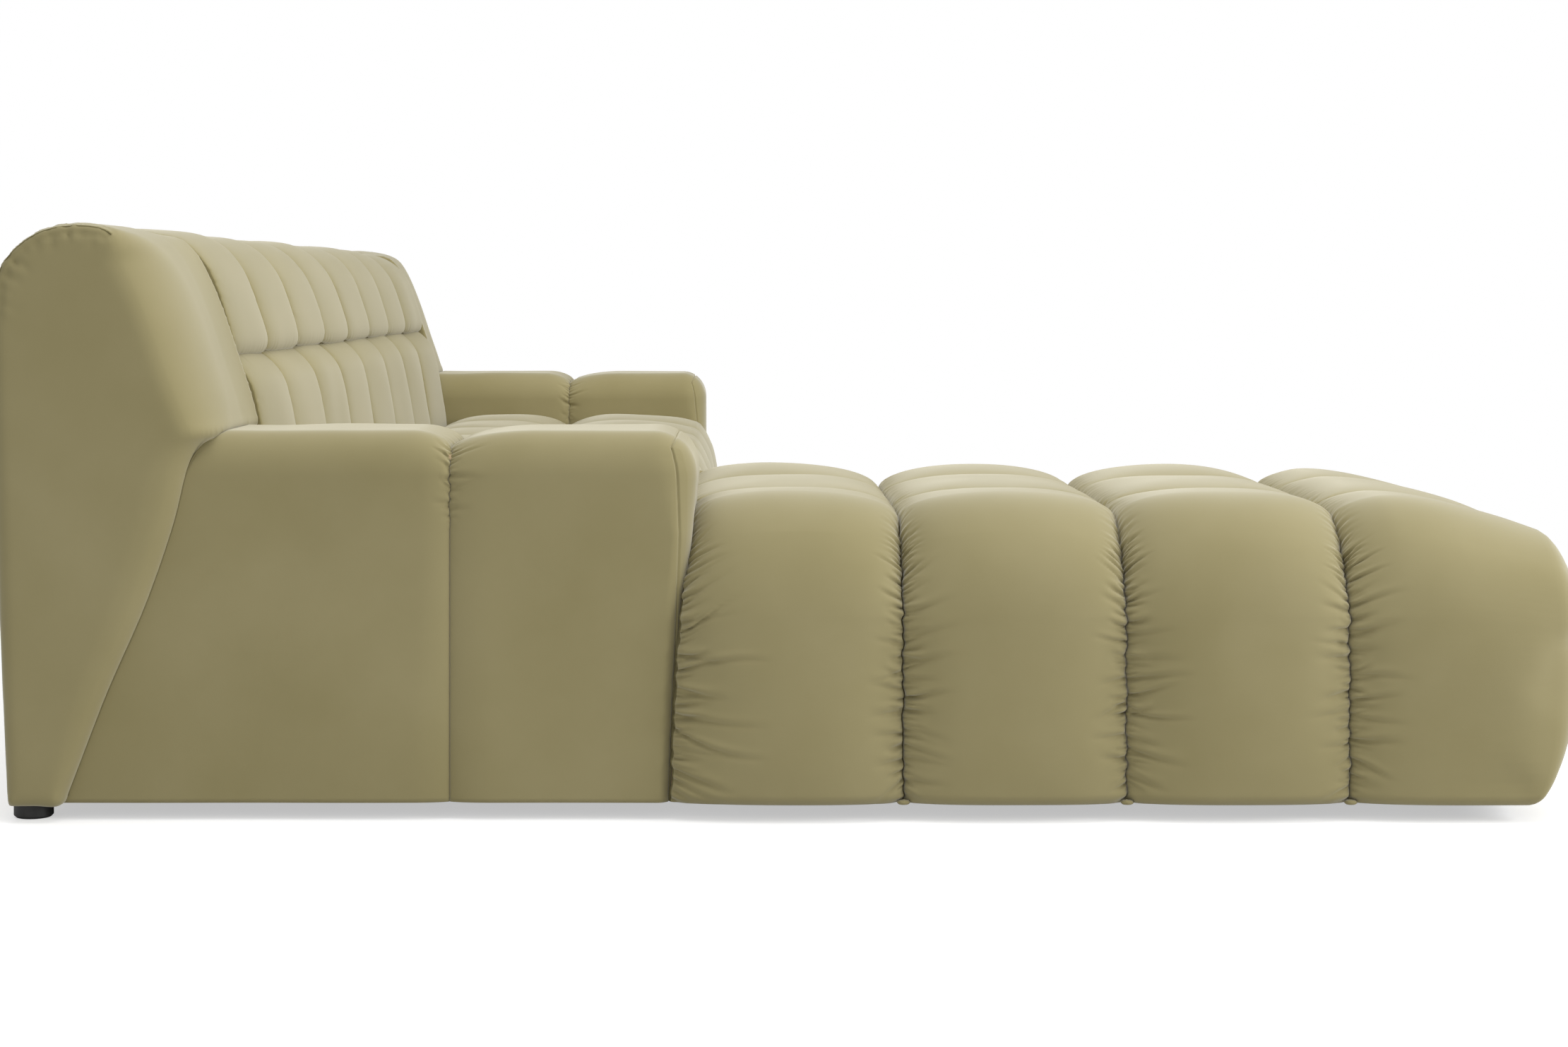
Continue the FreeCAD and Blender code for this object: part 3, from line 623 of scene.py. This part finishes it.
def chaise_columns():
    """The chaise's three columns of pads in front of the arm."""
    names = ("chaise_outer_rolls", "chaise_middle_rolls", "chaise_inner_rolls")
    for index, name in enumerate(names):
        u = (index * column, (index + 1) * column)
        is_outer, is_inner = index == 0, index == columns["chaise"] - 1
        parts = []
        for number in range(chaise_rows):
            rear = seat_front + number * row
            pad = seat_pad(
                u,
                (rear, rear + row),
                100 * index + 10 * number,
                low=is_outer,
                high=is_inner,
                front=number == chaise_rows - 1,
                leaning=number == 0 and is_outer,
                squared=number == 0 and is_inner,
                detail=1.0 if is_outer else 2.0,
                grooves=(number, number + 1),
            )
            parts.append(pad)
            if is_outer and number:
                parts.append(fabric_tab(rear))
        upholster("chaise", name, merged(parts))


def columns_beside_arm(module):
    """Number and width of each column between the arm and the other module."""
    count = columns[module]
    for index in range(1, count):
        yield index, (index * column, (index + 1) * column - beside * (index == count - 1))


def seat_rows(module, name, rows, front, seed):
    """Rows of pads between the arm and the other module."""
    parts = []
    for number, (rear, ahead) in enumerate(rows):
        for index, u in columns_beside_arm(module):
            pad_seed = seed + 100 * index + 10 * number
            parts.append(seat_pad(u, (rear, ahead), pad_seed, front=front, detail=2.4))
    upholster(module, name, merged(parts))


def cap_front(z):
    """Front edge of the end cap's side, beside the arm, at a height."""
    heights = (0.022, 0.161, 0.271, 0.371, 0.440, 0.474, 0.492, 0.51)
    return np.interp(z, heights, (0.085, 0.142, 0.190, 0.225, 0.247, 0.268, 0.298, 0.31))


def arm_fold_length(at):
    """Reach of the gathers in the arm's groove, up its side and over the top."""
    places = arm_top + np.array([-0.12, -0.05, 0.02])
    return np.interp(at, places, (0.024, 0.042, 0.030))


def arm_fold_depth(at):
    places = arm_top + np.array([-0.13, -0.095, -0.04, 0.02, 0.07])
    return np.interp(at, places, (0, 0.003, 0.0032, 0.002, 0))


def arm_roll(module, at_front, seed):
    """One roll of an arm: points, faces and seams."""
    u = (arm_recess, column - arm_gap)
    v = (row_groove, seat_front) if at_front else (0.0, row_groove)
    gathered = arm_top - arm_gathers
    us = even(u[0], u[1], 0.0045)
    vs = spaced(v[0], v[1], at_front, not at_front, 0.007)
    if at_front:
        edge = even(v[1] - 0.026, v[1], 0.0014)
        vs = np.concatenate([vs[vs < edge[0] - 0.001], edge])
    zs = np.concatenate([even(underside, gathered, 0.006)[:-1], even(gathered, arm_top, 0.0019)])
    net = Lattice(us, vs, zs, ["top", "low", "high"] + ["front"] * at_front)
    flat = net.points
    flat_u, flat_v, flat_z = flat.T
    ones = np.ones(len(flat))
    turn = np.interp(flat_z, (gathered, arm_top - 0.03), arm_turns)
    radii = np.column_stack([arm_round * ones, turn, arm_over * ones])
    lowest = np.array([u[0] + arm_round, v[0] - 1, underside - 1])
    ahead = v[1] - turn if at_front else (v[1] + 1) * ones
    highest = np.column_stack([(u[1] - arm_round) * ones, ahead, (arm_top - arm_over) * ones])
    points, way = rounded(flat, lowest, highest, radii)
    away = flat_v - v[0] if at_front else v[1] - flat_v
    upward = unit(way[:, 2])
    drop = arm_groove_dip * upward**1.5 * crown(away, arm_groove_reach, 1.9)
    drop += arm_side_dip * (1 - upward) * crown(away, arm_side_reach, 1.8)
    around = flat_z + np.minimum(flat_u - u[0], u[1] - flat_u)
    span = (arm_top - arm_fold_span[0], arm_top + arm_fold_span[1])
    centre = arm_top - arm_fold_centre
    for side in (-1, 1):
        folds = seam_folds(
            around, away, span, seed + side, arm_fold_length, arm_fold_depth, centre, arm_fold_fan
        )
        drop -= np.where(way[:, 0] * side > -0.2, folds, 0)
    drop += waves(flat, seed + 7, *arm_waves) * unit(away / 0.05)
    if at_front:
        stitched = v[1] - np.interp(flat_z, (0.20, 0.43), (0.002, arm_seam))
        drop += arm_seam_depth * np.exp(-(((flat_v - stitched) / arm_seam_width) ** 2))
    points = points - way * drop[:, None]
    if at_front:
        share = unit((flat_v - v[0]) / (v[1] - v[0]))
        forward = lean(points[:, 2])
        if module == "sofa":
            forward = np.minimum(forward, 0)
        points[:, 1] += forward * share**2
    else:
        share = 1 - flat_v / v[1]
        points[:, 1] += share * (cap_front(points[:, 2]) - arm_under_cap)
    sideways = wander(around, 60) * unit(1 - away / wander_reach)
    points[:, 1] += sideways * unit((around - arm_top + arm_gathers) / 0.04)
    # Faces in the gathered top of the groove take the darker velvet: painted shade.
    dark = (away < seam_shade_width) & (around > arm_top - arm_shade_height)
    return points, net.faces, seam_shade_faces(net.faces, dark)


def arms(module):
    for part, at_front, seed in (("rear", False, 700), ("front", True, 720)):
        upholster(module, f"{module}_arm_{part}_roll", arm_roll(module, at_front, seed))


def lengths_along(line):
    """How far along a line of v, z points each one is."""
    return np.concatenate([[0], np.cumsum(np.linalg.norm(np.diff(line, axis=0), axis=1))])


def curve_through(points, step):
    """Smooth line through a few v, z points, at even steps, with its outward direction.

    Further columns of the points run along smoothly with it.
    """
    points = np.asarray(points, float)
    padded = np.vstack([2 * points[0] - points[1], points, 2 * points[-1] - points[-2]])
    line = []
    for a, b, c, d in zip(padded, padded[1:], padded[2:], padded[3:]):
        bend, twist = 2 * a - 5 * b + 4 * c - d, 3 * b - a - 3 * c + d
        for t in np.linspace(0, 1, 40, endpoint=False):
            line.append(0.5 * (2 * b + (c - a) * t + bend * t**2 + twist * t**3))
    line = np.vstack([line, points[-1:]])
    walked = lengths_along(line[:, :2])
    stations = even(0, walked[-1], step)
    even_line = np.column_stack([np.interp(stations, walked, values) for values in line.T])
    ahead = np.gradient(even_line[:, :2], axis=0)
    ahead /= np.linalg.norm(ahead, axis=1)[:, None]
    return even_line, np.stack([ahead[:, 1], -ahead[:, 0]], axis=1), stations


def lofted(rings):
    """Points and faces of closed rings of equal length, one behind the other, with the end faces last."""
    size = len(rings[0])
    faces = []
    for ring in range(len(rings) - 1):
        for step in range(size):
            after = (step + 1) % size
            a, b = ring * size, (ring + 1) * size
            faces.append((a + step, a + after, b + after, b + step))
    faces.append(tuple(range(size)))
    faces.append(tuple(range((len(rings) - 1) * size, len(rings) * size)))
    return np.concatenate(rings), faces


def back_roll(profile, closing, u, seed, dip, seam_at_end, is_first):
    """One roll of the back: its profile pushed along u, swollen between the channels.

    The first roll is drawn in less beside the end cap, and its end face there doesn't take the painted seam
    shade.
    """
    line, outward, walked = curve_through(profile, step=0.0045)
    us = spaced(u[0], u[1], True, True, 0.007)
    to_channel = np.minimum(us - u[0], u[1] - us)
    to_seam = walked[-1] - walked if seam_at_end else walked
    depth = dip(line) * (1 - 0.45 * crown(to_seam, 0.035, 1.6))
    swell = crown(to_channel, (u[1] - u[0]) / 2, 2.0)
    behind_cap = np.zeros(len(us))
    if is_first:
        swell[us < sum(u) / 2] *= first_dip
        behind_cap = first_tuck * crown(us - u[0], 0.07, 1.8)
    settled = np.random.default_rng(seed).uniform(0, roll_settling)
    grid_u, grid_s = np.meshgrid(us, walked, indexing="ij")
    flat = np.stack([grid_u.ravel(), grid_s.ravel(), np.zeros(grid_u.size)], axis=1)
    away = np.minimum(flat[:, 0] - u[0], u[1] - flat[:, 0])
    seam_away = walked[-1] - flat[:, 1] if seam_at_end else flat[:, 1]
    folds = seam_folds(
        flat[:, 1], away, (0, walked[-1]), seed, lambda s: 0.022, lambda s: 0.0009, walked[-1] / 2, 0.5
    )
    folds += seam_folds(
        flat[:, 0], seam_away, u, seed + 1, lambda s: 0.030, lambda s: 0.0016, sum(u) / 2, 1.5
    )
    folds = (folds - waves(flat, seed + 5, *roll_waves)).reshape(grid_u.shape)
    rings = []
    for number, across in enumerate(us):
        drop = depth * swell[number] + behind_cap[number] - folds[number]
        section = line - outward * drop[:, None]
        section[:, 1] -= settled * unit((line[:, 1] - roll_settled[0]) / roll_settled[1])
        section = np.vstack([section, closing])
        rings.append(np.column_stack([np.full(len(section), across), section]))
    points, faces = lofted(rings)
    size = len(rings[0])
    # Faces near the row seam and, but on the first roll, along the channels take the darker velvet: painted
    # shade.
    near = np.tile(np.append(to_seam, np.zeros(len(closing))) < roll_seam_shade, len(rings))
    if not is_first:
        near |= np.repeat(to_channel < seam_shade_width, size)
    seam_shade = seam_shade_faces(faces, near)
    if is_first:
        seam_shade[-2] = False
    return points, faces, seam_shade


# Front and top of the rolls: v, z
lower_profile = (
    (0.318, 0.263), (0.318, 0.380), (0.311, 0.440), (0.303, 0.492), (0.297, 0.522),
    (0.290, 0.546), (0.280, 0.563), (0.268, 0.576), (0.254, 0.586), (0.238, 0.592),
)
upper_profile = (
    (0.248, 0.5785), (0.260, 0.584), (0.265, 0.597), (0.263, 0.615), (0.254, 0.645),
    (0.241, 0.681), (0.225, 0.712), (0.203, 0.738), (0.175, 0.752), (0.135, 0.757),
    (0.095, 0.756), (0.055, 0.746), (0.026, 0.724), (0.008, 0.698), (0.000, 0.665),
)

# Their rear, back to the start of the profile
lower_closing = ((roll_rear, 0.592), (roll_rear, 0.263))
upper_closing = ((0.022, 0.665), (0.022, 0.6905), (roll_rear, 0.6905), (roll_rear, 0.5785))

# Side of the end cap from its foot, up its front and over the top: v, z, how far the outer edge is drawn in
# along v and z, over which width, and how far the other edge draws in at the first channel, or stands out
cap_outline = (
    (0.0215, 0.0200, 0, 0.012, 0.014, 0),
    (0.055, 0.0205, 0, 0.012, 0.014, 0),
    (0.086, 0.0205, -0.006, 0.012, 0.016, 0),
    (0.097, 0.045, -0.018, 0.004, 0.022, 0),
    (0.142, 0.161, -0.034, 0, 0.027, 0),
    (0.190, 0.271, -0.040, 0, 0.027, 0),
    (0.225, 0.371, -0.042, 0, 0.027, 0),
    (0.244, 0.445, -0.042, 0, 0.030, 0),
    (0.262, 0.474, -0.042, 0, 0.050, 0),
    (0.284, 0.489, -0.046, 0, 0.090, -0.006),
    (0.281, 0.508, -0.052, 0, 0.120, -0.008),
    (0.273, 0.537, -0.056, 0, 0.135, -0.008),
    (0.262, 0.570, -0.058, 0, 0.140, -0.008),
    (0.240, 0.636, -0.060, 0, 0.140, -0.008),
    (0.221, 0.683, -0.062, 0, 0.130, -0.008),
    (0.203, 0.716, -0.056, -0.010, 0.110, -0.008),
    (0.182, 0.738, -0.030, -0.022, 0.070, -0.005),
    (0.150, 0.751, -0.004, -0.014, 0.018, 0.005),
    (0.110, 0.757, 0, -0.012, 0.014, 0.004),
    (0.065, 0.750, 0.003, -0.012, 0.014, 0.003),
    (0.030, 0.728, 0.007, -0.010, 0.014, 0),
    (0.008, 0.698, 0.011, -0.005, 0.014, 0),
    (0.000, 0.660, 0.013, 0, 0.016, 0),
    (0.000, 0.590, 0.016, 0, 0.020, 0),
    (0.0065, 0.300, 0.018, 0, 0.022, 0),
    (0.0185, 0.036, 0.014, 0.003, 0.016, 0),
)


def lower_channels(line):
    """Depth of the channels along the rolls' profile."""
    return np.full(len(line), roll_dip)


def upper_channels(line):
    return np.interp(line[:, 0], (0.02, 0.11, 0.19, 0.23), (0.0, top_dip, brow_dip, roll_dip))


def back_rolls(module):
    rows = (
        ("lower", lower_profile, lower_closing, lower_channels, 300, True),
        ("upper", upper_profile, upper_closing, upper_channels, 400, False),
    )
    for part, profile, closing, dip, seed, seam_at_end in rows:
        parts = []
        for index, u in columns_beside_arm(module):
            roll_seed = seed + 10 * index + columns[module]
            parts.append(back_roll(profile, closing, u, roll_seed, dip, seam_at_end, index == 1))
        upholster(module, f"{module}_back_{part}_rolls", merged(parts))


def seam_shade_line(module, path):
    """A thin dark line along u, v, z points, a tube that paints the shaded crease of a seam: points and
    faces.
    """
    radius, sides = 0.0012, 6
    sideways = (1.0, 0.0, 0.0)
    ahead = np.gradient(path, axis=0)
    across = np.cross(ahead, sideways)
    across /= np.linalg.norm(across, axis=1)[:, None]
    angles = np.linspace(0, 2 * math.pi, sides, endpoint=False)
    rings = []
    for centre, way in zip(path, across):
        rings.append(centre + radius * (np.outer(np.cos(angles), sideways) + np.outer(np.sin(angles), way)))
    points, faces = lofted(rings)
    return place(module, points), faces


def drawn_in(share):
    """Share of an edge's draw-in at a share of its width: a quarter round."""
    return (1 - np.sqrt(1 - share**2))[:, None]


def top_stitching(line):
    """Path of the seam over the end cap's rear and top edge."""
    upper = (line[:, 1] > 0.655) & (line[:, 0] < 0.160)
    at, sunk = 0.0042, 0.0012
    inset, reach = line[upper, 2:4], line[upper, 4]
    share = unit((reach - at) / reach)
    inward = inset / np.linalg.norm(inset, axis=1)[:, None]
    edge = line[upper, :2] + inset * drawn_in(share) + inward * sunk
    return np.column_stack([np.full(len(edge), at + sunk), edge])


def side_stitching(line):
    """Path of the seam between the end cap and the arm."""
    at_arm = (line[:, 1] < 0.484) & (line[:, 1] > 0.028) & (line[:, 0] > cap_front(line[:, 1]) - 0.03)
    edge = line[at_arm, :2]
    return np.column_stack([np.full(len(edge), arm_recess - 0.0006), edge])


def add_seam_shade(piece, points, faces):
    """Adds a seam's points and faces to a piece, in the darker velvet that paints the seam's shade."""
    shape = bmesh.new()
    shape.from_mesh(piece.data)
    corners = [shape.verts.new(point) for point in points]
    added = []
    for face in faces:
        new_face = shape.faces.new([corners[i] for i in face])
        new_face.material_index = 1
        new_face.smooth = True
        added.append(new_face)
    bmesh.ops.recalc_face_normals(shape, faces=added)
    shape.to_mesh(piece.data)
    shape.free()


def pucker_cap(piece, line, seed):
    """Sinks the seam over the end cap's rear and top edge, with a few puckers under it."""
    inset, sunk, half_seam = 0.014, 0.0022, 0.0032
    spacing, width = 0.017, 0.005
    ease = 0.02
    count = len(piece.data.vertices)
    world = np.empty(count * 3)
    normals = np.empty(count * 3)
    piece.data.vertices.foreach_get("co", world)
    piece.data.vertex_normals.foreach_get("vector", normals)
    world, normals = world.reshape(-1, 3), normals.reshape(-1, 3)
    places = np.column_stack([half_width - np.abs(world[:, 0]), rear_y - world[:, 1], world[:, 2]])
    edge = line[(line[:, 1] > 0.62) & (line[:, 0] < 0.172), :2]
    walked = lengths_along(edge)
    chosen = np.flatnonzero((places[:, 0] < 0.04) & (places[:, 2] > 0.60) & (places[:, 1] < 0.20))
    gaps = np.linalg.norm(places[chosen, None, 1:] - edge[None], axis=2)
    along = walked[gaps.argmin(axis=1)]
    from_seam = gaps.min(axis=1) - inset + places[chosen, 0]
    ends = unit(np.minimum(along, walked[-1] - along) / ease)
    height = -sunk * np.exp(-((from_seam / half_seam) ** 2))
    span = (ease, walked[-1])
    folds = gathers(
        along, np.abs(from_seam), span, seed, lambda s: 0.020, lambda s: 0.0026, 0.1, 1.0, spacing, width
    )
    height += np.where(from_seam > 0, folds, 0.4 * folds)
    world[chosen] += normals[chosen] * (height * ends)[:, None]
    piece.data.vertices.foreach_set("co", world.ravel())
    piece.data.update()


def apply_modifiers(piece):
    view = bpy.context.evaluated_depsgraph_get()
    mesh = bpy.data.meshes.new_from_object(piece.evaluated_get(view))
    piece.modifiers.clear()
    piece.data = mesh


def end_cap(module):
    """The smooth end of the back, turned softly from its side to its front."""
    name = f"{module}_back_end_cap"
    line, outward, _ = curve_through(cap_outline, step=0.006)
    inset, reach, inner = line[:, 2:4], line[:, 4], line[:, 5]
    rings = []
    for u in np.concatenate([np.linspace(0, cap_turn, 11)[:-1], even(cap_turn, column - cap_gap, 0.007)]):
        share = unit((reach - u) / reach)
        section = line[:, :2] + inset * drawn_in(share)
        section -= outward * (inner * crown(column - u, 0.08, 1.3))[:, None]
        rings.append(np.column_stack([np.full(len(section), u), section]))
    points, faces = lofted(rings)
    piece = finish_mesh(name + "_velvet", module, points, faces, [False] * len(faces))
    remesh = piece.modifiers.new("even", "REMESH")
    remesh.mode = "VOXEL"
    remesh.voxel_size = 0.0042
    soften = piece.modifiers.new("soften", "SMOOTH")
    soften.factor = 0.5
    soften.iterations = 4
    apply_modifiers(piece)
    for face in piece.data.polygons:
        face.use_smooth = True
    pucker_cap(piece, line, seed=900)
    # Dark tubes paint the shaded creases of the seams over the top edge and beside the arm.
    for path in (top_stitching(line), side_stitching(line)):
        add_seam_shade(piece, *seam_shade_line(module, path))
    dress(piece, module, [name])


def rear_panel(module):
    us = even(column, columns[module] * column - beside, 0.02)
    zs = even(underside, panel_top, 0.012)
    net = Lattice(us, np.array([0.0, panel_front]), zs, ["rear"])
    points = net.points.copy()
    rear = points[:, 1] < panel_front / 2
    profile = np.interp(points[:, 2], (0.022, 0.30, 0.59, panel_top), (0.018, 0.0065, 0.0, 0.0))
    soft = 0.003 * crown(np.minimum(points[:, 2] - underside, panel_top - points[:, 2]), 0.02)
    points[:, 1] = np.where(rear, profile + soft, points[:, 1])
    # Its plain side caps take the darker velvet: painted shade in the gaps beside the panel.
    seam_shade = seam_shade_faces(net.faces, np.zeros(len(points), bool))
    upholster(module, f"{module}_rear_panel", (points, net.faces, seam_shade))


# Materials


def new_material(name):
    """A material with its nodes, links, shader and coordinates."""
    material = bpy.data.materials.new(name)
    material.use_nodes = True
    nodes, links = material.node_tree.nodes, material.node_tree.links
    return material, nodes, links, nodes["Principled BSDF"], nodes.new("ShaderNodeTexCoord")


def noise(nodes, links, coords, scale, detail=2.0):
    texture = nodes.new("ShaderNodeTexNoise")
    texture.inputs["Scale"].default_value = scale
    texture.inputs["Detail"].default_value = detail
    links.new(coords.outputs["Object"], texture.inputs["Vector"])
    return texture.outputs["Fac"]


def mottled(nodes, links, shader, source, low, high):
    """Colours the shader from low to high by a noise."""
    steps = nodes.new("ShaderNodeValToRGB")
    for step, position, colour in zip(steps.color_ramp.elements, (0.3, 0.7), (low, high)):
        step.position = position
        step.color = (*colour, 1)
    links.new(source, steps.inputs["Fac"])
    links.new(steps.outputs["Color"], shader.inputs["Base Color"])


def bumped(nodes, links, shader, source, strength, distance):
    """Roughens the shader's surface by a noise."""
    lift = nodes.new("ShaderNodeBump")
    lift.inputs["Strength"].default_value = strength
    lift.inputs["Distance"].default_value = distance
    links.new(source, lift.inputs["Height"])
    links.new(lift.outputs["Normal"], shader.inputs["Normal"])


def textured(name, low, high, scale, roughness, bump_scale, bump, metallic=0.0):
    """A plain finish with mottled colour and a fine grain."""
    material, nodes, links, shader, coords = new_material(name)
    mottled(nodes, links, shader, noise(nodes, links, coords, scale, 4.0), low, high)
    bumped(nodes, links, shader, noise(nodes, links, coords, bump_scale), bump, 0.0006)
    shader.inputs["Roughness"].default_value = roughness
    shader.inputs["Metallic"].default_value = metallic
    return material


def velvet_material(name, low, high, sheen):
    """Short-pile velvet: brushed patches, a fine pile and a pale sheen at glancing angles."""
    material, nodes, links, shader, coords = new_material(name)
    mottled(nodes, links, shader, noise(nodes, links, coords, 5.0, 5.0), low, high)
    bumped(nodes, links, shader, noise(nodes, links, coords, 900.0, 3.0), 0.18, 0.0004)
    shader.inputs["Roughness"].default_value = 0.85
    shader.inputs["Specular IOR Level"].default_value = 0.12
    shader.inputs["Sheen Weight"].default_value = sheen
    shader.inputs["Sheen Roughness"].default_value = 0.45
    shader.inputs["Sheen Tint"].default_value = (0.97, 0.95, 0.86, 1)
    return material


def grey(tone):
    return (tone, tone, tone)


velvet = velvet_material("olive_velvet", (0.260, 0.225, 0.108), (0.293, 0.255, 0.131), 0.60)
# Darker copy of the velvet without sheen, for faces in seams and grooves: painted shade.
seam_shade_velvet = velvet_material("olive_velvet_painted_seam_shade", (0.160, 0.138, 0.064), (0.190, 0.166, 0.082), 0.0)
finishes = {
    "frame_timber": textured("pine_boards", (0.42, 0.27, 0.13), (0.60, 0.43, 0.24), 14, 0.6, 180, 0.3),
    "frame_board": textured("plywood", (0.50, 0.36, 0.20), (0.64, 0.49, 0.30), 9, 0.65, 150, 0.3),
    "spring_wire": textured("spring_steel", (0.22, 0.22, 0.23), (0.38, 0.38, 0.40), 60, 0.35, 700, 0.1, 1.0),
    "clip_plastic": textured("clip_plastic", (0.70, 0.70, 0.66), (0.80, 0.80, 0.77), 40, 0.5, 500, 0.1),
    "felt": textured("grey_felt", grey(0.18), (0.36, 0.36, 0.35), 120, 0.95, 600, 0.6),
    "foam": textured("seat_foam", (0.74, 0.66, 0.42), (0.84, 0.78, 0.56), 80, 0.9, 450, 0.6),
    "webbing": textured("black_webbing", grey(0.03), grey(0.08), 200, 0.8, 900, 0.5),
    "lining": textured("black_lining", grey(0.02), grey(0.05), 160, 0.9, 800, 0.5),
    "foot_plastic": textured("black_plastic", grey(0.010), grey(0.022), 90, 0.45, 600, 0.2),
    "screw_steel": textured("zinc_screws", (0.52, 0.50, 0.44), (0.68, 0.66, 0.60), 90, 0.35, 900, 0.1, 1.0),
    "connector_steel": textured("black_steel", grey(0.05), grey(0.11), 50, 0.4, 700, 0.2),
    "velvet": velvet,
}
for subpart in frame["record"]["subparts"]:
    node = frame["nodes"][subpart["node"]]
    node.data.materials.clear()
    node.data.materials.append(finishes[subpart["material_slot"]])

# Upholstery

chaise_columns()
seat_rows("chaise", "chaise_seat_rolls", ((seat_rear, row_groove), (row_groove, seat_front)), False, 1000)
seat_rows("sofa", "sofa_seat_rear_rolls", ((seat_rear, row_groove),), False, 2000)
seat_rows("sofa", "sofa_seat_front_rolls", ((row_groove, seat_front),), True, 3000)
for module_name in ("chaise", "sofa"):
    arms(module_name)
    back_rolls(module_name)
    end_cap(module_name)
    rear_panel(module_name)

# Stage, light and camera


def calculated(nodes, links, operation, first, second):
    """Result of a sum on an output and another one or a number."""
    step = nodes.new("ShaderNodeMath")
    step.operation = operation
    links.new(first, step.inputs[0])
    if isinstance(second, float):
        step.inputs[1].default_value = second
    else:
        links.new(second, step.inputs[1])
    return step.outputs[0]


def stage():
    """A pale floor, brighter to the camera, that fades out around the sofa."""
    reach, glow, fade_from, fade_to = 14.0, 0.50, 1.7, 3.4
    corners = reach * np.array([(-1, -1, 0), (1, -1, 0), (1, 1, 0), (-1, 1, 0)])
    mesh = new_mesh("floor", corners, [(0, 1, 2, 3)])
    floor = linked("floor", mesh)
    material, nodes, links, shader, coords = new_material("pale_floor")
    mottled(nodes, links, shader, noise(nodes, links, coords, 3.0), grey(0.66), grey(0.69))
    shader.inputs["Roughness"].default_value = 1.0
    shader.inputs["Specular IOR Level"].default_value = 0.0
    shader.inputs["Emission Color"].default_value = (1, 1, 1, 1)
    path = nodes.new("ShaderNodeLightPath")
    brighter = calculated(nodes, links, "MULTIPLY", path.outputs["Is Camera Ray"], glow)
    links.new(brighter, shader.inputs["Emission Strength"])
    distance = nodes.new("ShaderNodeVectorMath")
    distance.operation = "LENGTH"
    links.new(coords.outputs["Object"], distance.inputs[0])
    fade = nodes.new("ShaderNodeMapRange")
    fade.interpolation_type = "SMOOTHSTEP"
    fade.inputs["From Min"].default_value = fade_from
    fade.inputs["From Max"].default_value = fade_to
    links.new(distance.outputs["Value"], fade.inputs["Value"])
    clear = nodes.new("ShaderNodeBsdfTransparent")
    mix = nodes.new("ShaderNodeMixShader")
    links.new(fade.outputs["Result"], mix.inputs["Fac"])
    links.new(shader.outputs["BSDF"], mix.inputs[1])
    links.new(clear.outputs["BSDF"], mix.inputs[2])
    links.new(mix.outputs["Shader"], nodes["Material Output"].inputs["Surface"])
    mesh.materials.append(material)


def world_light():
    """White surroundings that light the sofa less than they show."""
    lit, shown = 0.48, 1.0
    world = bpy.data.worlds.new("studio")
    bpy.context.scene.world = world
    world.use_nodes = True
    nodes, links = world.node_tree.nodes, world.node_tree.links
    background = nodes["Background"]
    rays = nodes.new("ShaderNodeLightPath").outputs
    seen = calculated(nodes, links, "MAXIMUM", rays["Is Camera Ray"], rays["Is Glossy Ray"])
    seen = calculated(nodes, links, "MAXIMUM", seen, rays["Is Transmission Ray"])
    strength = nodes.new("ShaderNodeMapRange")
    strength.inputs["To Min"].default_value = lit
    strength.inputs["To Max"].default_value = shown
    links.new(seen, strength.inputs["Value"])
    links.new(strength.outputs["Result"], background.inputs["Strength"])
    background.inputs["Color"].default_value = (1, 1, 1, 1)


def lamp(name, place_at, size, power):
    light = bpy.data.lights.new(name, "AREA")
    light.shape = "RECTANGLE"
    light.size, light.size_y = size
    light.energy = power
    holder = linked(name, light)
    holder.location = place_at
    way = np.array([0, 0, 0.3]) - place_at
    holder.rotation_euler = Vector(way).to_track_quat("-Z", "Y").to_euler()


def camera():
    """The photograph's view."""
    view = bpy.data.cameras.new("photo_view")
    view.sensor_width = 36.0
    view.lens = 65.0
    view.shift_x = 0.027
    view.shift_y = -0.149
    holder = linked("photo_view", view)
    holder.location = (-4.960, 0.054, 0.672)
    holder.rotation_euler = (math.pi / 2, 0, -math.pi / 2)
    bpy.context.scene.camera = holder


stage()
world_light()
lamp("top", (-0.6, -0.3, 3.6), (4.0, 4.0), 106)
lamp("front", (-2.6, -4.2, 2.0), (2.5, 2.0), 140)
lamp("side", (-4.6, 0.8, 1.5), (2.6, 1.6), 18)
camera()
bpy.context.scene.view_settings.view_transform = "Standard"
